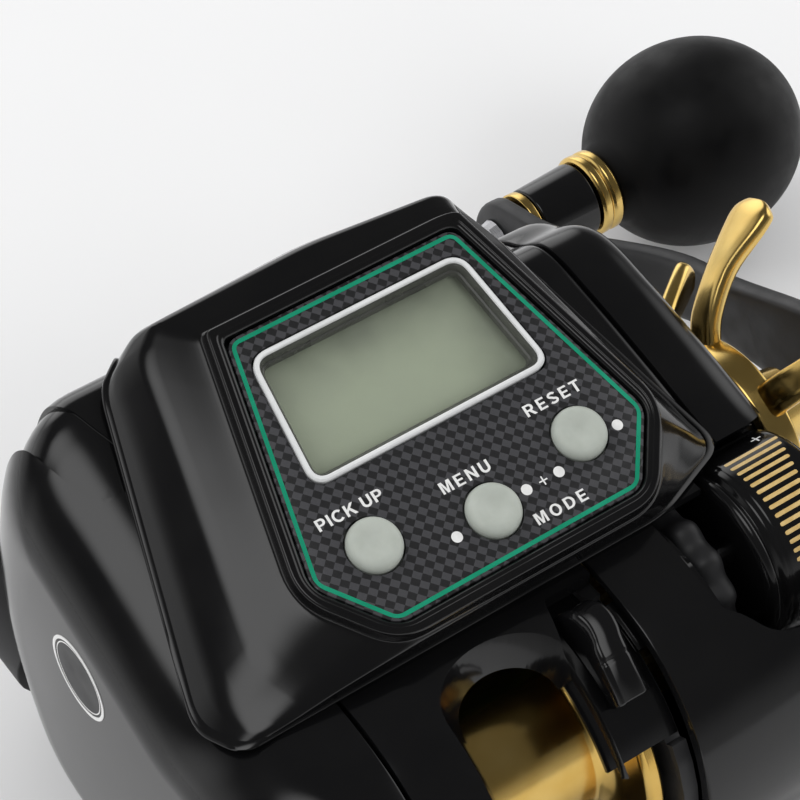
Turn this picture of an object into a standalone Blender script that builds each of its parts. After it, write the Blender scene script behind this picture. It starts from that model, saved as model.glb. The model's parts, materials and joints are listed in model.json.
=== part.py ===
# Electric fishing reel, modelled as separate pieces around two shafts.
# Frame: +Z up, +Y towards the rod tip, +X towards the handle.
# The origin is the middle of the underside of the reel foot.

import math

import bmesh
import bpy
from mathutils import Matrix, Vector

MM = 0.001
DEG = math.pi / 180

# Clearances shared by all the pieces
GAP = 0.3 * MM
OVERRUN = 4.0 * MM

# How finely round things are divided
SIDES_FINE = 40
SIDES_ROUND = 28
SIDES_SMALL = 16
SIDES_SCREW = 12
ROUND_STEPS = 4
SMOOTH_ANGLE = 40 * DEG

# Spool and the two walls that carry it
SPOOL_Y = -12.0 * MM
SPOOL_Z = 35.0 * MM
SPOOL_WIDTH = 34.0 * MM
SPOOL_FLANGE_RADIUS = 23.0 * MM
SPOOL_FLANGE_THICKNESS = 2.2 * MM
SPOOL_ARBOR_RADIUS = 13.0 * MM
SPOOL_RIM_THICKNESS = 1.2 * MM
SPOOL_SIDE_GAP = 1.0 * MM
SPOOL_SHAFT_RADIUS = 2.9 * MM
SPOOL_SHAFT_REACH = 32.2 * MM
WALL_THICKNESS = 2.4 * MM
BEARING_RADIUS = 5.6 * MM
BEARING_WIDTH = 3.8 * MM
BEARING_BOSS_RADIUS = 7.0 * MM
BEARING_BOSS_HEIGHT = 2.0 * MM

# Frame
FRAME_TOP_ANGLE = 95 * DEG
FRAME_TOP = 59.6 * MM
FRAME_FRONT = 51.5 * MM
FRAME_BOTTOM = 4.6 * MM
FRAME_FLOOR = 3.0 * MM
FRAME_CHAMFER = 7.0 * MM
FRAME_REAR_FLAT_Y = -24.0 * MM
FRAME_BAR = 4.6 * MM
FRAME_FRONT_BAR = 7.0 * MM
WINDOW_BOTTOM = 40.0 * MM
NOSE_WINDOW_BOTTOM = 11.0 * MM
NOSE_WINDOW_TOP = 35.0 * MM

# Foot
FOOT_LENGTH = 92.0 * MM
FOOT_WIDTH = 22.0 * MM
FOOT_END_WIDTH = 13.0 * MM
FOOT_THICKNESS = 4.3 * MM
FOOT_END_THICKNESS = 1.8 * MM
FOOT_SEAT_LENGTH = 44.0 * MM
FOOT_SCREW_SPACING = 28.0 * MM

# Covers on both sides: a rear arc round the spool, a deck and a nose
COVER_RADIUS = 28.0 * MM
COVER_WALL = 2.0 * MM
COVER_START_ANGLE = 214 * DEG
COVER_CENTRE_Y = 8.0 * MM
COVER_CENTRE_Z = 38.0 * MM
COVER_SPAN = 45.0 * MM
BODY_FRONT = 59.0 * MM
BODY_TOP = 81.0 * MM
LEFT_FACE_X = -43.0 * MM
LEFT_EDGE_RADIUS = 16.0 * MM
GEAR_CASE_X = 49.0 * MM
RIGHT_FACE_X = 59.5 * MM
RIGHT_EDGE_RADIUS = 5.0 * MM
CASE_EDGE_RADIUS = 1.2 * MM
# Outline points after the rear arc, as shares of the body's front and top
LEFT_NOSE_SHARES = [
    (-0.03, 0.781), (0.25, 0.858), (0.50, 0.926), (0.68, 0.975), (0.77, 0.985),
    (0.84, 0.930), (0.90, 0.800), (0.94, 0.640), (0.93, 0.460), (0.86, 0.280),
    (0.76, 0.150), (0.58, 0.088), (0.20, 0.078), (-0.22, 0.090)]
RIGHT_NOSE_SHARES = [
    (-0.04, 0.779), (0.20, 0.816), (0.45, 0.849), (0.64, 0.860), (0.75, 0.800),
    (0.85, 0.750), (0.94, 0.650), (0.97, 0.500), (0.95, 0.340), (0.88, 0.200),
    (0.76, 0.115), (0.55, 0.082), (0.18, 0.078), (-0.22, 0.090)]
OUTLINE_STEPS = 3

# Display panel: its centre, tilt and six-sided outline
PANEL_X = 11.0 * MM
PANEL_Y = 14.0 * MM
PANEL_Z = 78.0 * MM
PANEL_TILT = 20.6 * DEG
PLATE_TOP_WIDTH = 38.2 * MM
PLATE_WIDE_WIDTH = 56.0 * MM
PLATE_BOTTOM_WIDTH = 41.0 * MM
PLATE_TOP_V = 23.0 * MM
PLATE_WIDE_V = -13.1 * MM
PLATE_BOTTOM_V = -23.0 * MM
PLATE_THICKNESS = 1.5 * MM
PLATE_CORNER = 2.0 * MM
LEDGE_WIDTH = 2.2 * MM
LIP_HEIGHT = 0.8 * MM
LIP_WIDTH = 2.3 * MM
STEP_DEPTH = 1.8 * MM
HEAD_WALL = 1.8 * MM

# Buttons on the panel
BUTTON_RADIUS = 4.0 * MM
BUTTON_HEIGHT = 1.5 * MM
BUTTON_FLANGE = 0.8 * MM
BUTTON_TRAVEL = 0.9 * MM
BUTTON_DIMPLE = 0.25 * MM
BUTTON_EDGE = 0.9 * MM
BUTTON_SIDE_U = 17.24 * MM
BUTTON_SIDE_V = -12.0 * MM
BUTTON_MIDDLE_V = -15.7 * MM

# Liquid crystal display window
WINDOW_TOP_WIDTH = 35.6 * MM
WINDOW_BASE_WIDTH = 40.0 * MM
WINDOW_TOP_V = 19.4 * MM
WINDOW_BASE_V = -1.2 * MM
WINDOW_BORDER = 1.3 * MM
WINDOW_CORNER = 3.0 * MM
WINDOW_PROUD = 0.3 * MM
LENS_THICKNESS = 0.8 * MM
LENS_DEPTH = 1.5 * MM
LCD_THICKNESS = 2.0 * MM
BOARD_THICKNESS = 1.4 * MM

# Rear guard over the spool, with its arch for the thumb
GUARD_THICKNESS = 2.2 * MM
GUARD_RIGHT_X = 11.6 * MM
GUARD_FRONT_ANGLE = 78 * DEG
GUARD_REAR_ANGLE = 146 * DEG
ARCH_HALF_WIDTH = 10.2 * MM
ARCH_FRONT_ANGLE = 91 * DEG
ARCH_CURVE_ANGLE = 16 * DEG
SLOT_FRONT_ANGLE = 88 * DEG

# Clutch lever: a fin that swings round the spool axis
LEVER_LEFT_X = 12.5 * MM
LEVER_RIGHT_X = 19.4 * MM
LEVER_INNER_RADIUS = 24.3 * MM
LEVER_OUTER_RADIUS = 29.6 * MM
LEVER_FRONT_ANGLE = 94.5 * DEG
LEVER_REAR_ANGLE = 126 * DEG
LEVER_ARM_THICKNESS = 1.2 * MM
LEVER_ARM_ANGLE = 10 * DEG
LEVER_POST_THICKNESS = 1.1 * MM
LEVER_HUB_WIDTH = 2.2 * MM

# Speed dial, its scale hood and the pocket round them
DIAL_Y = -11.0 * MM
DIAL_Z = 49.3 * MM
DIAL_RADIUS = 12.0 * MM
DIAL_WIDTH = 4.8 * MM
DIAL_FLUTE = 0.9 * MM
DIAL_FLUTES = 12
DIAL_SHAFT_RADIUS = 1.7 * MM
HOOD_LEFT_X = 43.0 * MM
HOOD_RIGHT_X = 59.3 * MM
HOOD_RADIUS = 13.8 * MM
HOOD_WALL = 1.6 * MM
HOOD_STEP = 1.3 * MM
HOOD_EDGE = 1.2 * MM
POCKET_Y = -13.0 * MM
POCKET_Z = 48.8 * MM
POCKET_RADIUS = 17.7 * MM
POCKET_LEFT_X = 32.4 * MM
POCKET_WALL = 1.2 * MM
POCKET_STEP = 1.2 * MM
POCKET_STEP_X = 40.2 * MM
SENSOR_RADIUS = 7.5 * MM
SENSOR_LENGTH = 8.0 * MM

# Motor in the nose and the gears behind the left cover
MOTOR_Y = 29.0 * MM
MOTOR_Z = 23.0 * MM
MOTOR_RADIUS = 13.4 * MM
MOTOR_LEFT_X = -17.4 * MM
MOTOR_RIGHT_X = 14.0 * MM
MOTOR_EDGE = 1.5 * MM
MOTOR_BOSS_RADIUS = 4.8 * MM
MOTOR_SHAFT_RADIUS = 1.6 * MM
GEAR_LEFT_X = -24.0 * MM
GEAR_WIDTH = 5.0 * MM
MOTOR_PINION_RADIUS = 5.0 * MM
IDLER_RADIUS = 11.2 * MM
SPOOL_GEAR_RADIUS = 15.0 * MM
IDLER_PIN_RADIUS = 2.2 * MM
TOOTH_HEIGHT = 1.5 * MM

# Handle drive behind the right side plate
DRIVE_Y = 10.5 * MM
DRIVE_Z = 42.8 * MM
DRIVE_SHAFT_RADIUS = 3.0 * MM
DRIVE_SHAFT_END_X = 92.5 * MM
DRIVE_GEAR_X = 24.6 * MM
DRIVE_GEAR_WIDTH = 4.4 * MM
PINION_X = 24.0 * MM
PINION_WIDTH = 8.0 * MM
PINION_RADIUS = 5.3 * MM
DRAG_WASHER_RADIUS = 13.0 * MM
DRAG_WASHER_THICKNESS = 1.2 * MM
ROLLER_RADIUS = 6.0 * MM
ROLLER_X = 50.0 * MM
ROLLER_WIDTH = 7.0 * MM
COLLAR_RADIUS = 12.6 * MM
COLLAR_END_X = 65.0 * MM

# Star drag
STAR_X = 62.0 * MM
STAR_RING_RADIUS = 15.6 * MM
STAR_RING_WALL = 2.4 * MM
STAR_RING_DEPTH = 5.0 * MM
STAR_HUB_RADIUS = 7.0 * MM
STAR_HUB_LENGTH = 14.0 * MM
STAR_ARMS = 6
STAR_FIRST_ANGLE = 57.5 * DEG
STAR_TIP_RADIUS = 30.5 * MM
STAR_TIP_X = 81.5 * MM
STAR_ARM_THICKNESS = 3.2 * MM
STAR_ARM_WIDTH = 8.5 * MM
STAR_ARM_ROOT_WIDTH = 5.5 * MM

# Handle arm and knob
HANDLE_ANGLE = -17.4 * DEG
HANDLE_LENGTH = 75.3 * MM
HANDLE_HUB_X = 87.0 * MM
HANDLE_END_X = 77.0 * MM
HANDLE_THICKNESS = 4.6 * MM
HANDLE_HUB_WIDTH = 19.0 * MM
HANDLE_END_WIDTH = 13.0 * MM
HANDLE_NECK_WIDTH = 11.5 * MM
HANDLE_STATIONS = 14
NUT_RADIUS = 6.5 * MM
NUT_HEIGHT = 4.2 * MM
KNOB_SPINDLE_RADIUS = 2.4 * MM
KNOB_WASHER_RADIUS = 6.2 * MM
KNOB_WASHER_WIDTH = 1.6 * MM
KNOB_STEM_RADIUS = 6.2 * MM
KNOB_STEM_LENGTH = 11.0 * MM
KNOB_RING_RADIUS = 7.4 * MM
KNOB_RING_WIDTH = 4.4 * MM
KNOB_RADIUS = 18.4 * MM
KNOB_LENGTH = 41.0 * MM
KNOB_NECK_RADIUS = 6.6 * MM

# Level wind: worm, guide rod and line guide
WORM_Y = 25.5 * MM
WORM_Z = 43.0 * MM
WORM_RADIUS = 2.6 * MM
WORM_GEAR_RADIUS = 6.0 * MM
WORM_GEAR_X = 22.4 * MM
WORM_GEAR_WIDTH = 1.8 * MM
ROD_Y = 34.0 * MM
ROD_Z = 43.0 * MM
ROD_RADIUS = 1.5 * MM
GUIDE_WIDTH = 9.0 * MM
GUIDE_WALL = 1.3 * MM
GUIDE_EYE_Z = 49.2 * MM
GUIDE_EYE_RADIUS = 4.2 * MM
GUIDE_EYE_HOLE = 3.1 * MM
GUIDE_DEPTH = 3.8 * MM

# Nose cover over the motor
NOSE_WALL = 2.0 * MM
NOSE_TOP_Z = 39.4 * MM
NOSE_BOTTOM_Z = 11.0 * MM
NOSE_SHARES = [(0.0, 1.0), (0.45, 0.97), (0.80, 0.84), (1.0, 0.60), (0.98, 0.34),
               (0.70, 0.12), (0.28, 0.0)]

# Power socket at the front of the left cover
SOCKET_X = -34.0 * MM
SOCKET_Z = 24.0 * MM
SOCKET_RADIUS = 7.6 * MM
SOCKET_COLLAR_RADIUS = 9.2 * MM
SOCKET_BACK_Y = 46.0 * MM
SOCKET_FRONT_Y = 65.0 * MM
SOCKET_COLLAR_WIDTH = 2.2 * MM
SOCKET_CUP_RADIUS = 5.3 * MM
SOCKET_CUP_DEPTH = 12.0 * MM
SOCKET_PIN_RADIUS = 1.1 * MM
SOCKET_PIN_SPACING = 5.0 * MM
SOCKET_PIN_LENGTH = 6.5 * MM

# Foot screws
SCREW_HEAD_RADIUS = 2.4 * MM
SCREW_HEAD_HEIGHT = 1.3 * MM
SCREW_SHANK_RADIUS = 1.2 * MM
SCREW_SOCKET_RADIUS = 1.2 * MM

GOLD = (0.83, 0.58, 0.16, 1)
BLACK = (0.006, 0.006, 0.007, 1)


# Materials

def paint(name, colour, roughness, metallic=0.0):
    """One plain finish, made once."""
    found = bpy.data.materials.get(name)
    if found:
        return found
    finish = bpy.data.materials.new(name)
    finish.use_nodes = True
    shader = finish.node_tree.nodes["Principled BSDF"]
    shader.inputs["Base Color"].default_value = colour
    shader.inputs["Roughness"].default_value = roughness
    shader.inputs["Metallic"].default_value = metallic
    return finish


def gloss_black():
    return paint("gloss_black", BLACK, 0.12)


def matte_black():
    return paint("matte_black", (0.012, 0.012, 0.013, 1), 0.55)


def gold():
    return paint("gold_anodised", GOLD, 0.22, 1.0)


def steel():
    return paint("bright_steel", (0.58, 0.58, 0.60, 1), 0.28, 1.0)


def brass():
    return paint("gear_brass", (0.62, 0.47, 0.20, 1), 0.35, 1.0)


def pale_rubber():
    return paint("pale_rubber", (0.50, 0.53, 0.48, 1), 0.5)


# Helpers that turn rings of points into closed solids

def add_object(name, mesh_data, finish, place=(0, 0, 0)):
    """Make one named object from a bmesh and close the bmesh."""
    bmesh.ops.recalc_face_normals(mesh_data, faces=mesh_data.faces)
    mesh = bpy.data.meshes.new(name)
    mesh_data.to_mesh(mesh)
    mesh_data.free()
    mesh.materials.append(finish)
    mesh.shade_smooth()
    mesh.set_sharp_from_angle(angle=SMOOTH_ANGLE)
    made = bpy.data.objects.new(name, mesh)
    made.location = place
    bpy.context.scene.collection.objects.link(made)
    return made


def put_origin(made, y, z, x=0.0):
    """Move the object's origin onto an axis and leave its shape in place."""
    point = Vector((x, y, z))
    made.data.transform(Matrix.Translation(-point))
    made.location = point
    return made


def bridge(mesh_data, first, second):
    """Quads between two closed rings with the same number of points."""
    count = len(first)
    for i in range(count):
        j = (i + 1) % count
        mesh_data.faces.new((first[i], first[j], second[j], second[i]))


def loft(name, rings, finish, closed=False, place=(0, 0, 0)):
    """Skin a row of rings; its ends are capped, or joined when closed."""
    mesh_data = bmesh.new()
    rows = [[mesh_data.verts.new(point) for point in ring] for ring in rings]
    for first, second in zip(rows, rows[1:]):
        bridge(mesh_data, first, second)
    if closed:
        bridge(mesh_data, rows[-1], rows[0])
    else:
        mesh_data.faces.new(rows[0])
        mesh_data.faces.new(rows[-1])
    return add_object(name, mesh_data, finish, place)


def circle(x, radius, y, z, sides):
    """A ring of points round a line along X."""
    step = 2 * math.pi / sides
    return [(x, y + radius * math.cos(i * step), z + radius * math.sin(i * step))
            for i in range(sides)]


def turned(name, profile, y, z, finish, sides=SIDES_ROUND, closed=False):
    """Turn a profile of (x, radius) points round a line along X."""
    rings = [circle(x, radius, y, z, sides) for x, radius in profile]
    return put_origin(loft(name, rings, finish, closed), y, z)


def extrude_x(name, outline, x_from, x_to, finish):
    """A prism along X of an outline of (y, z) points."""
    rings = [[(x, y, z) for y, z in outline] for x in (x_from, x_to)]
    return loft(name, rings, finish)


def box(name, low, high, finish):
    """A plain block between two corners."""
    outline = [(low[1], low[2]), (high[1], low[2]), (high[1], high[2]), (low[1], high[2])]
    return extrude_x(name, outline, low[0], high[0], finish)


def sector(y, z, inner, outer, start, end, steps):
    """Outline of a part of a ring, seen along X."""
    angles = [start + (end - start) * i / steps for i in range(steps + 1)]
    outside = [(y + outer * math.cos(a), z + outer * math.sin(a)) for a in angles]
    inside = [(y + inner * math.cos(a), z + inner * math.sin(a)) for a in angles]
    return outside + inside[::-1]


def combine(made, other, operation):
    """Add, cut or keep what another solid covers; the other is only a tool."""
    other.hide_render = True
    other.display_type = 'WIRE'
    step = made.modifiers.new(operation.lower() + "_" + other.name, 'BOOLEAN')
    step.operation = operation
    step.solver = 'EXACT'
    step.object = other
    return made


def cut(made, other):
    return combine(made, other, 'DIFFERENCE')


def join(made, other):
    return combine(made, other, 'UNION')


def smooth_loop(points, steps):
    """A closed curve through the points, with some steps between them."""
    count = len(points)
    curve = []
    for i in range(count):
        a, b, c, d = (Vector(points[(i + k) % count]) for k in (-1, 0, 1, 2))
        for s in range(steps):
            t = s / steps
            bend = 2 * b + (c - a) * t + (2 * a - 5 * b + 4 * c - d) * t * t
            curve.append((bend + (3 * b - a - 3 * c + d) * t ** 3) / 2)
    return curve


# Outlines of the covers

def cover_outline(nose_shares):
    """Rear arc round the spool, then the deck and the nose."""
    arc_points = 6
    points = []
    for i in range(arc_points):
        angle = COVER_START_ANGLE + (math.pi / 2 - COVER_START_ANGLE) * i / (arc_points - 1)
        points.append((SPOOL_Y + COVER_RADIUS * math.cos(angle),
                       SPOOL_Z + COVER_RADIUS * math.sin(angle)))
    points += [(y * BODY_FRONT, z * BODY_TOP) for y, z in nose_shares]
    return [(p[0], p[1]) for p in smooth_loop(points, OUTLINE_STEPS)]


def shrink(outline, inset):
    """Draw an outline in towards the middle of the covers."""
    scale = 1 - inset / COVER_SPAN
    return [(COVER_CENTRE_Y + (y - COVER_CENTRE_Y) * scale,
             COVER_CENTRE_Z + (z - COVER_CENTRE_Z) * scale) for y, z in outline]


def cup(name, outline, x_open, x_closed, edge, wall, finish):
    """A cover: open on one side, with a rounded edge on the other."""
    side = 1 if x_closed > x_open else -1
    outer = [(0.0, x_open)]
    for i in range(ROUND_STEPS + 1):
        angle = math.pi / 2 * i / ROUND_STEPS
        outer.append((edge * (1 - math.cos(angle)), x_closed - side * edge * (1 - math.sin(angle))))
    inner_edge = max(edge - wall, wall / 2)
    inner = [(wall, x_open)]
    for i in range(0, ROUND_STEPS + 1, 2):
        angle = math.pi / 2 * i / ROUND_STEPS
        inner.append((wall + inner_edge * (1 - math.cos(angle)),
                      x_closed - side * (wall + inner_edge * (1 - math.sin(angle)))))
    rings = []
    for inset, x in list(reversed(outer)) + inner:
        rings.append([(x, y, z) for y, z in shrink(outline, inset)])
    return loft(name, rings, finish)


def gear(name, teeth, tip_radius, bore_radius, x_from, width, y, z, finish):
    """A spur gear with square-topped teeth and a bore."""
    pitch = 2 * math.pi / teeth
    tooth_shares = [(0.0, 0), (0.12, 1), (0.42, 1), (0.54, 0)]
    angles = []
    radii = []
    for i in range(teeth):
        for share, high in tooth_shares:
            angles.append((i + share) * pitch)
            radii.append(tip_radius - (0 if high else TOOTH_HEIGHT))

    def ring(x, radius_list):
        return [(x, y + r * math.cos(a), z + r * math.sin(a))
                for a, r in zip(angles, radius_list)]

    bore = [bore_radius] * len(angles)
    rings = [ring(x_from, radii), ring(x_from + width, radii),
             ring(x_from + width, bore), ring(x_from, bore)]
    return put_origin(loft(name, rings, finish, closed=True), y, z)


# Display panel in its own tilted frame: u to the right, v up the panel, n out of it

PANEL_CORNERS = [
    (PLATE_TOP_WIDTH / 2, PLATE_TOP_V), (-PLATE_TOP_WIDTH / 2, PLATE_TOP_V),
    (-PLATE_WIDE_WIDTH / 2, PLATE_WIDE_V), (-PLATE_BOTTOM_WIDTH / 2, PLATE_BOTTOM_V),
    (PLATE_BOTTOM_WIDTH / 2, PLATE_BOTTOM_V), (PLATE_WIDE_WIDTH / 2, PLATE_WIDE_V)]


def rounded(corners, radius, arc_steps=3, edge_steps=2):
    """Round a closed polygon's corners; equal corner counts give equal point counts."""
    corners = [Vector(corner) for corner in corners]
    count = len(corners)
    points = []
    for i in range(count):
        corner = corners[i]
        before = corners[i - 1]
        after = corners[(i + 1) % count]
        start = corner + (before - corner).normalized() * min(radius, (before - corner).length / 3)
        reach = min(radius, (after - corner).length / 3)
        end = corner + (after - corner).normalized() * reach
        for k in range(arc_steps + 1):
            t = k / arc_steps
            points.append(start * (1 - t) ** 2 + corner * 2 * t * (1 - t) + end * t ** 2)
        far_end = after + (corner - after).normalized() * reach
        for k in range(1, edge_steps):
            points.append(end.lerp(far_end, k / edge_steps))
    return points


def grow(corners, amount):
    """Move every side of a polygon outwards by an amount."""
    count = len(corners)
    grown = []
    for i in range(count):
        before = Vector(corners[i - 1])
        here = Vector(corners[i])
        after = Vector(corners[(i + 1) % count])
        first = (here - before).normalized()
        second = (after - here).normalized()
        normal_a = Vector((first.y, -first.x))
        normal_b = Vector((second.y, -second.x))
        middle = (normal_a + normal_b) / (1 + normal_a.dot(normal_b))
        grown.append(tuple(here + middle * amount))
    return grown


def on_panel(made):
    """Place an object that was made in panel coordinates."""
    made.location = (PANEL_X, PANEL_Y, PANEL_Z)
    made.rotation_euler = (PANEL_TILT, 0, 0)
    return made


# Corner tables of the head housing: u as shares of half the plate's wide width,
# v as shares of its top, n as shares of the deck depth
DECK_DEPTH = 8.0 * MM
HEAD_CORNER = 3.5 * MM
HEAD_SPAN = 40.0 * MM
BAND_SHARES = [
    (0.80, 1.28, -0.25), (0.0, 1.36, -0.25), (-0.88, 1.34, -0.26), (-0.93, 1.33, -0.28),
    (-1.05, 1.20, -0.34), (-1.38, -0.78, -0.38), (-1.25, -1.14, -0.44), (0.80, -1.14, -0.31),
    (1.21, -0.75, -0.53), (0.90, 1.08, -0.95)]
SHOULDER_SHARES = [
    (0.84, 1.33, -0.75), (0.0, 1.44, -0.77), (-0.97, 1.40, -0.80), (-1.01, 1.37, -0.70),
    (-1.20, 1.20, -0.70), (-1.62, -0.85, -0.75), (-1.52, -1.152, -0.60), (0.82, -1.157, -0.55),
    (1.30, -0.92, -0.85), (1.02, 0.935, -1.02)]
RIM_SHARES = [
    (0.91, 1.196, -3.12), (0.0, 1.26, -3.12), (-1.09, 1.26, -3.12), (-1.06, 1.357, -1.07),
    (-1.26, 1.174, -0.93), (-1.75, -0.87, -1.14), (-1.64, -1.157, -0.74), (0.83, -1.157, -0.66),
    (1.36, -0.924, -0.975), (1.13, 0.85, -1.79)]


def ten_corners(six):
    """Add the front corners that the outer rings of the housing need."""
    six = [Vector(corner) for corner in six]
    top_right, top_left, left, bottom_left, bottom_right, right = six
    return [top_right, top_left.lerp(top_right, 0.5), top_left.lerp(top_right, 0.06), top_left,
            top_left.lerp(left, 0.10), left, bottom_left, bottom_right, right,
            right.lerp(top_right, 0.90)]


def plate_ring(amount, depth):
    """A ring round the display plate, grown by an amount, at a depth."""
    corners = [(u, v, depth) for u, v in ten_corners(grow(PANEL_CORNERS, amount))]
    return rounded(corners, PLATE_CORNER + max(amount, 0))


def share_ring(shares, inset=0.0, drop=0.0, lowest=None):
    """A ring of the housing from its corner table, or the one inside it."""
    scale = 1 - inset / HEAD_SPAN
    corners = []
    for i, (u, v, n) in enumerate(shares):
        depth = n * DECK_DEPTH - drop
        if lowest:
            depth = max(depth, lowest[i][2] * DECK_DEPTH)
        corners.append((u * scale * PLATE_WIDE_WIDTH / 2, v * scale * PLATE_TOP_V, depth))
    return rounded(corners, HEAD_CORNER)


def make_head_housing():
    """The hood that carries the display, one ring-shaped shell."""
    seat = -PLATE_THICKNESS - GAP
    rings = [
        plate_ring(-LEDGE_WIDTH, seat),
        plate_ring(GAP, seat),
        plate_ring(GAP, LIP_HEIGHT),
        plate_ring(LIP_WIDTH, LIP_HEIGHT),
        plate_ring(LIP_WIDTH + GAP, LIP_HEIGHT - STEP_DEPTH),
        share_ring(BAND_SHARES),
        share_ring(SHOULDER_SHARES),
        share_ring(RIM_SHARES),
        share_ring(RIM_SHARES, HEAD_WALL),
        share_ring(SHOULDER_SHARES, HEAD_WALL, HEAD_WALL, RIM_SHARES),
        share_ring(BAND_SHARES, HEAD_WALL, HEAD_WALL, RIM_SHARES),
        plate_ring(-LEDGE_WIDTH, seat - HEAD_WALL)]
    return on_panel(loft("head_housing", rings, gloss_black(), closed=True))


def panel_prism(name, points, n_from, n_to, finish):
    """A flat piece in panel coordinates."""
    rings = [[(p[0], p[1], n) for p in points] for n in (n_from, n_to)]
    return on_panel(loft(name, rings, finish))


def window_corners(amount):
    """Outline of the display window, grown by an amount."""
    return grow([(WINDOW_TOP_WIDTH / 2, WINDOW_TOP_V), (-WINDOW_TOP_WIDTH / 2, WINDOW_TOP_V),
                 (-WINDOW_BASE_WIDTH / 2, WINDOW_BASE_V), (WINDOW_BASE_WIDTH / 2, WINDOW_BASE_V)],
                amount)


BUTTON_PLACES = {
    "button_pick_up": (-BUTTON_SIDE_U, BUTTON_SIDE_V),
    "button_menu": (0, BUTTON_MIDDLE_V),
    "button_reset": (BUTTON_SIDE_U, BUTTON_SIDE_V)}


def upright_turned(name, profile, u, v, finish, sides=SIDES_ROUND):
    """Turn a profile of (n, radius) points round a line square to the panel."""
    turns = [2 * math.pi * (i + 0.5) / sides for i in range(sides)]
    rings = [[(r * math.cos(a), r * math.sin(a), n) for a in turns] for n, r in profile]
    made = loft(name, rings, finish)
    made.rotation_euler = (PANEL_TILT, 0, 0)
    made.location = Matrix.Rotation(PANEL_TILT, 3, 'X') @ Vector((u, v, 0)) + Vector(
        (PANEL_X, PANEL_Y, PANEL_Z))
    return made


def make_display():
    """Printed plate, window, display, buttons and the board under them."""
    plate = panel_prism("display_plate", rounded(PANEL_CORNERS, PLATE_CORNER),
                        -PLATE_THICKNESS, 0, matte_black())
    hole = panel_prism("tool_window_hole", rounded(window_corners(GAP), WINDOW_CORNER),
                       -PLATE_THICKNESS - OVERRUN, OVERRUN, matte_black())
    cut(plate, hole)
    for name, (u, v) in BUTTON_PLACES.items():
        tool = upright_turned("tool_" + name, [(-PLATE_THICKNESS - OVERRUN, BUTTON_RADIUS + GAP),
                                               (OVERRUN, BUTTON_RADIUS + GAP)],
                              u, v, matte_black())
        cut(plate, tool)

    frame_low = -PLATE_THICKNESS - LENS_DEPTH
    rings = []
    for amount, n in ((0, frame_low), (0, WINDOW_PROUD), (-WINDOW_BORDER, WINDOW_PROUD),
                      (-WINDOW_BORDER, frame_low)):
        corner = WINDOW_CORNER + amount
        rings.append([(p[0], p[1], n) for p in rounded(window_corners(amount), corner)])
    white = paint("white_enamel", (0.80, 0.80, 0.80, 1), 0.35)
    on_panel(loft("window_frame", rings, white, closed=True))

    inner = rounded(window_corners(-WINDOW_BORDER - GAP), WINDOW_CORNER - WINDOW_BORDER - GAP)
    glass = paint("clear_window", (0.75, 0.78, 0.72, 1), 0.05)
    panel_prism("display_window", inner, frame_low + GAP, frame_low + GAP + LENS_THICKNESS, glass)

    lcd_top = frame_low - GAP
    lcd_green = paint("lcd_grey_green", (0.36, 0.40, 0.30, 1), 0.3)
    panel_prism("lcd_module", window_corners(-GAP), lcd_top - LCD_THICKNESS, lcd_top,
                lcd_green)
    board_top = lcd_top - LCD_THICKNESS - GAP
    board_green = paint("board_green", (0.02, 0.12, 0.05, 1), 0.5)
    panel_prism("control_board", grow(PANEL_CORNERS, -LEDGE_WIDTH - GAP),
                board_top - BOARD_THICKNESS, board_top, board_green)

    flange_top = -PLATE_THICKNESS - GAP
    mat_top = flange_top - BUTTON_FLANGE - BUTTON_TRAVEL - GAP
    mat_edge = BUTTON_SIDE_U + BUTTON_RADIUS
    mat_back = WINDOW_BASE_V - WINDOW_BORDER - 2 * GAP
    mat_front = PLATE_BOTTOM_V + LEDGE_WIDTH + GAP
    front_edge = mat_edge * PLATE_TOP_WIDTH / PLATE_WIDE_WIDTH
    mat_corners = [(mat_edge, mat_back), (-mat_edge, mat_back), (-mat_edge, BUTTON_SIDE_V),
                   (-front_edge, mat_front), (front_edge, mat_front), (mat_edge, BUTTON_SIDE_V)]
    panel_prism("key_mat", mat_corners, board_top + GAP, mat_top, pale_rubber())

    flange_radius = BUTTON_RADIUS + BUTTON_FLANGE
    edge = BUTTON_EDGE
    profile = [(flange_top - BUTTON_FLANGE, flange_radius), (flange_top, flange_radius),
               (flange_top, BUTTON_RADIUS), (BUTTON_HEIGHT - edge, BUTTON_RADIUS),
               (BUTTON_HEIGHT - edge * 0.3, BUTTON_RADIUS - edge * 0.3),
               (BUTTON_HEIGHT, BUTTON_RADIUS - edge), (BUTTON_HEIGHT, BUTTON_RADIUS / 2),
               (BUTTON_HEIGHT - BUTTON_DIMPLE, BUTTON_RADIUS / 4)]
    for name, (u, v) in BUTTON_PLACES.items():
        upright_turned(name, profile, u, v, pale_rubber(), SIDES_ROUND)


def pocket_profile(end, inset):
    """Stepped round pocket for the dial and its hood."""
    start = POCKET_LEFT_X + inset
    small = POCKET_RADIUS - POCKET_STEP - inset
    return [(start, small), (POCKET_STEP_X + inset, small),
            (POCKET_STEP_X + inset, POCKET_RADIUS - inset), (end, POCKET_RADIUS - inset)]


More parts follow.
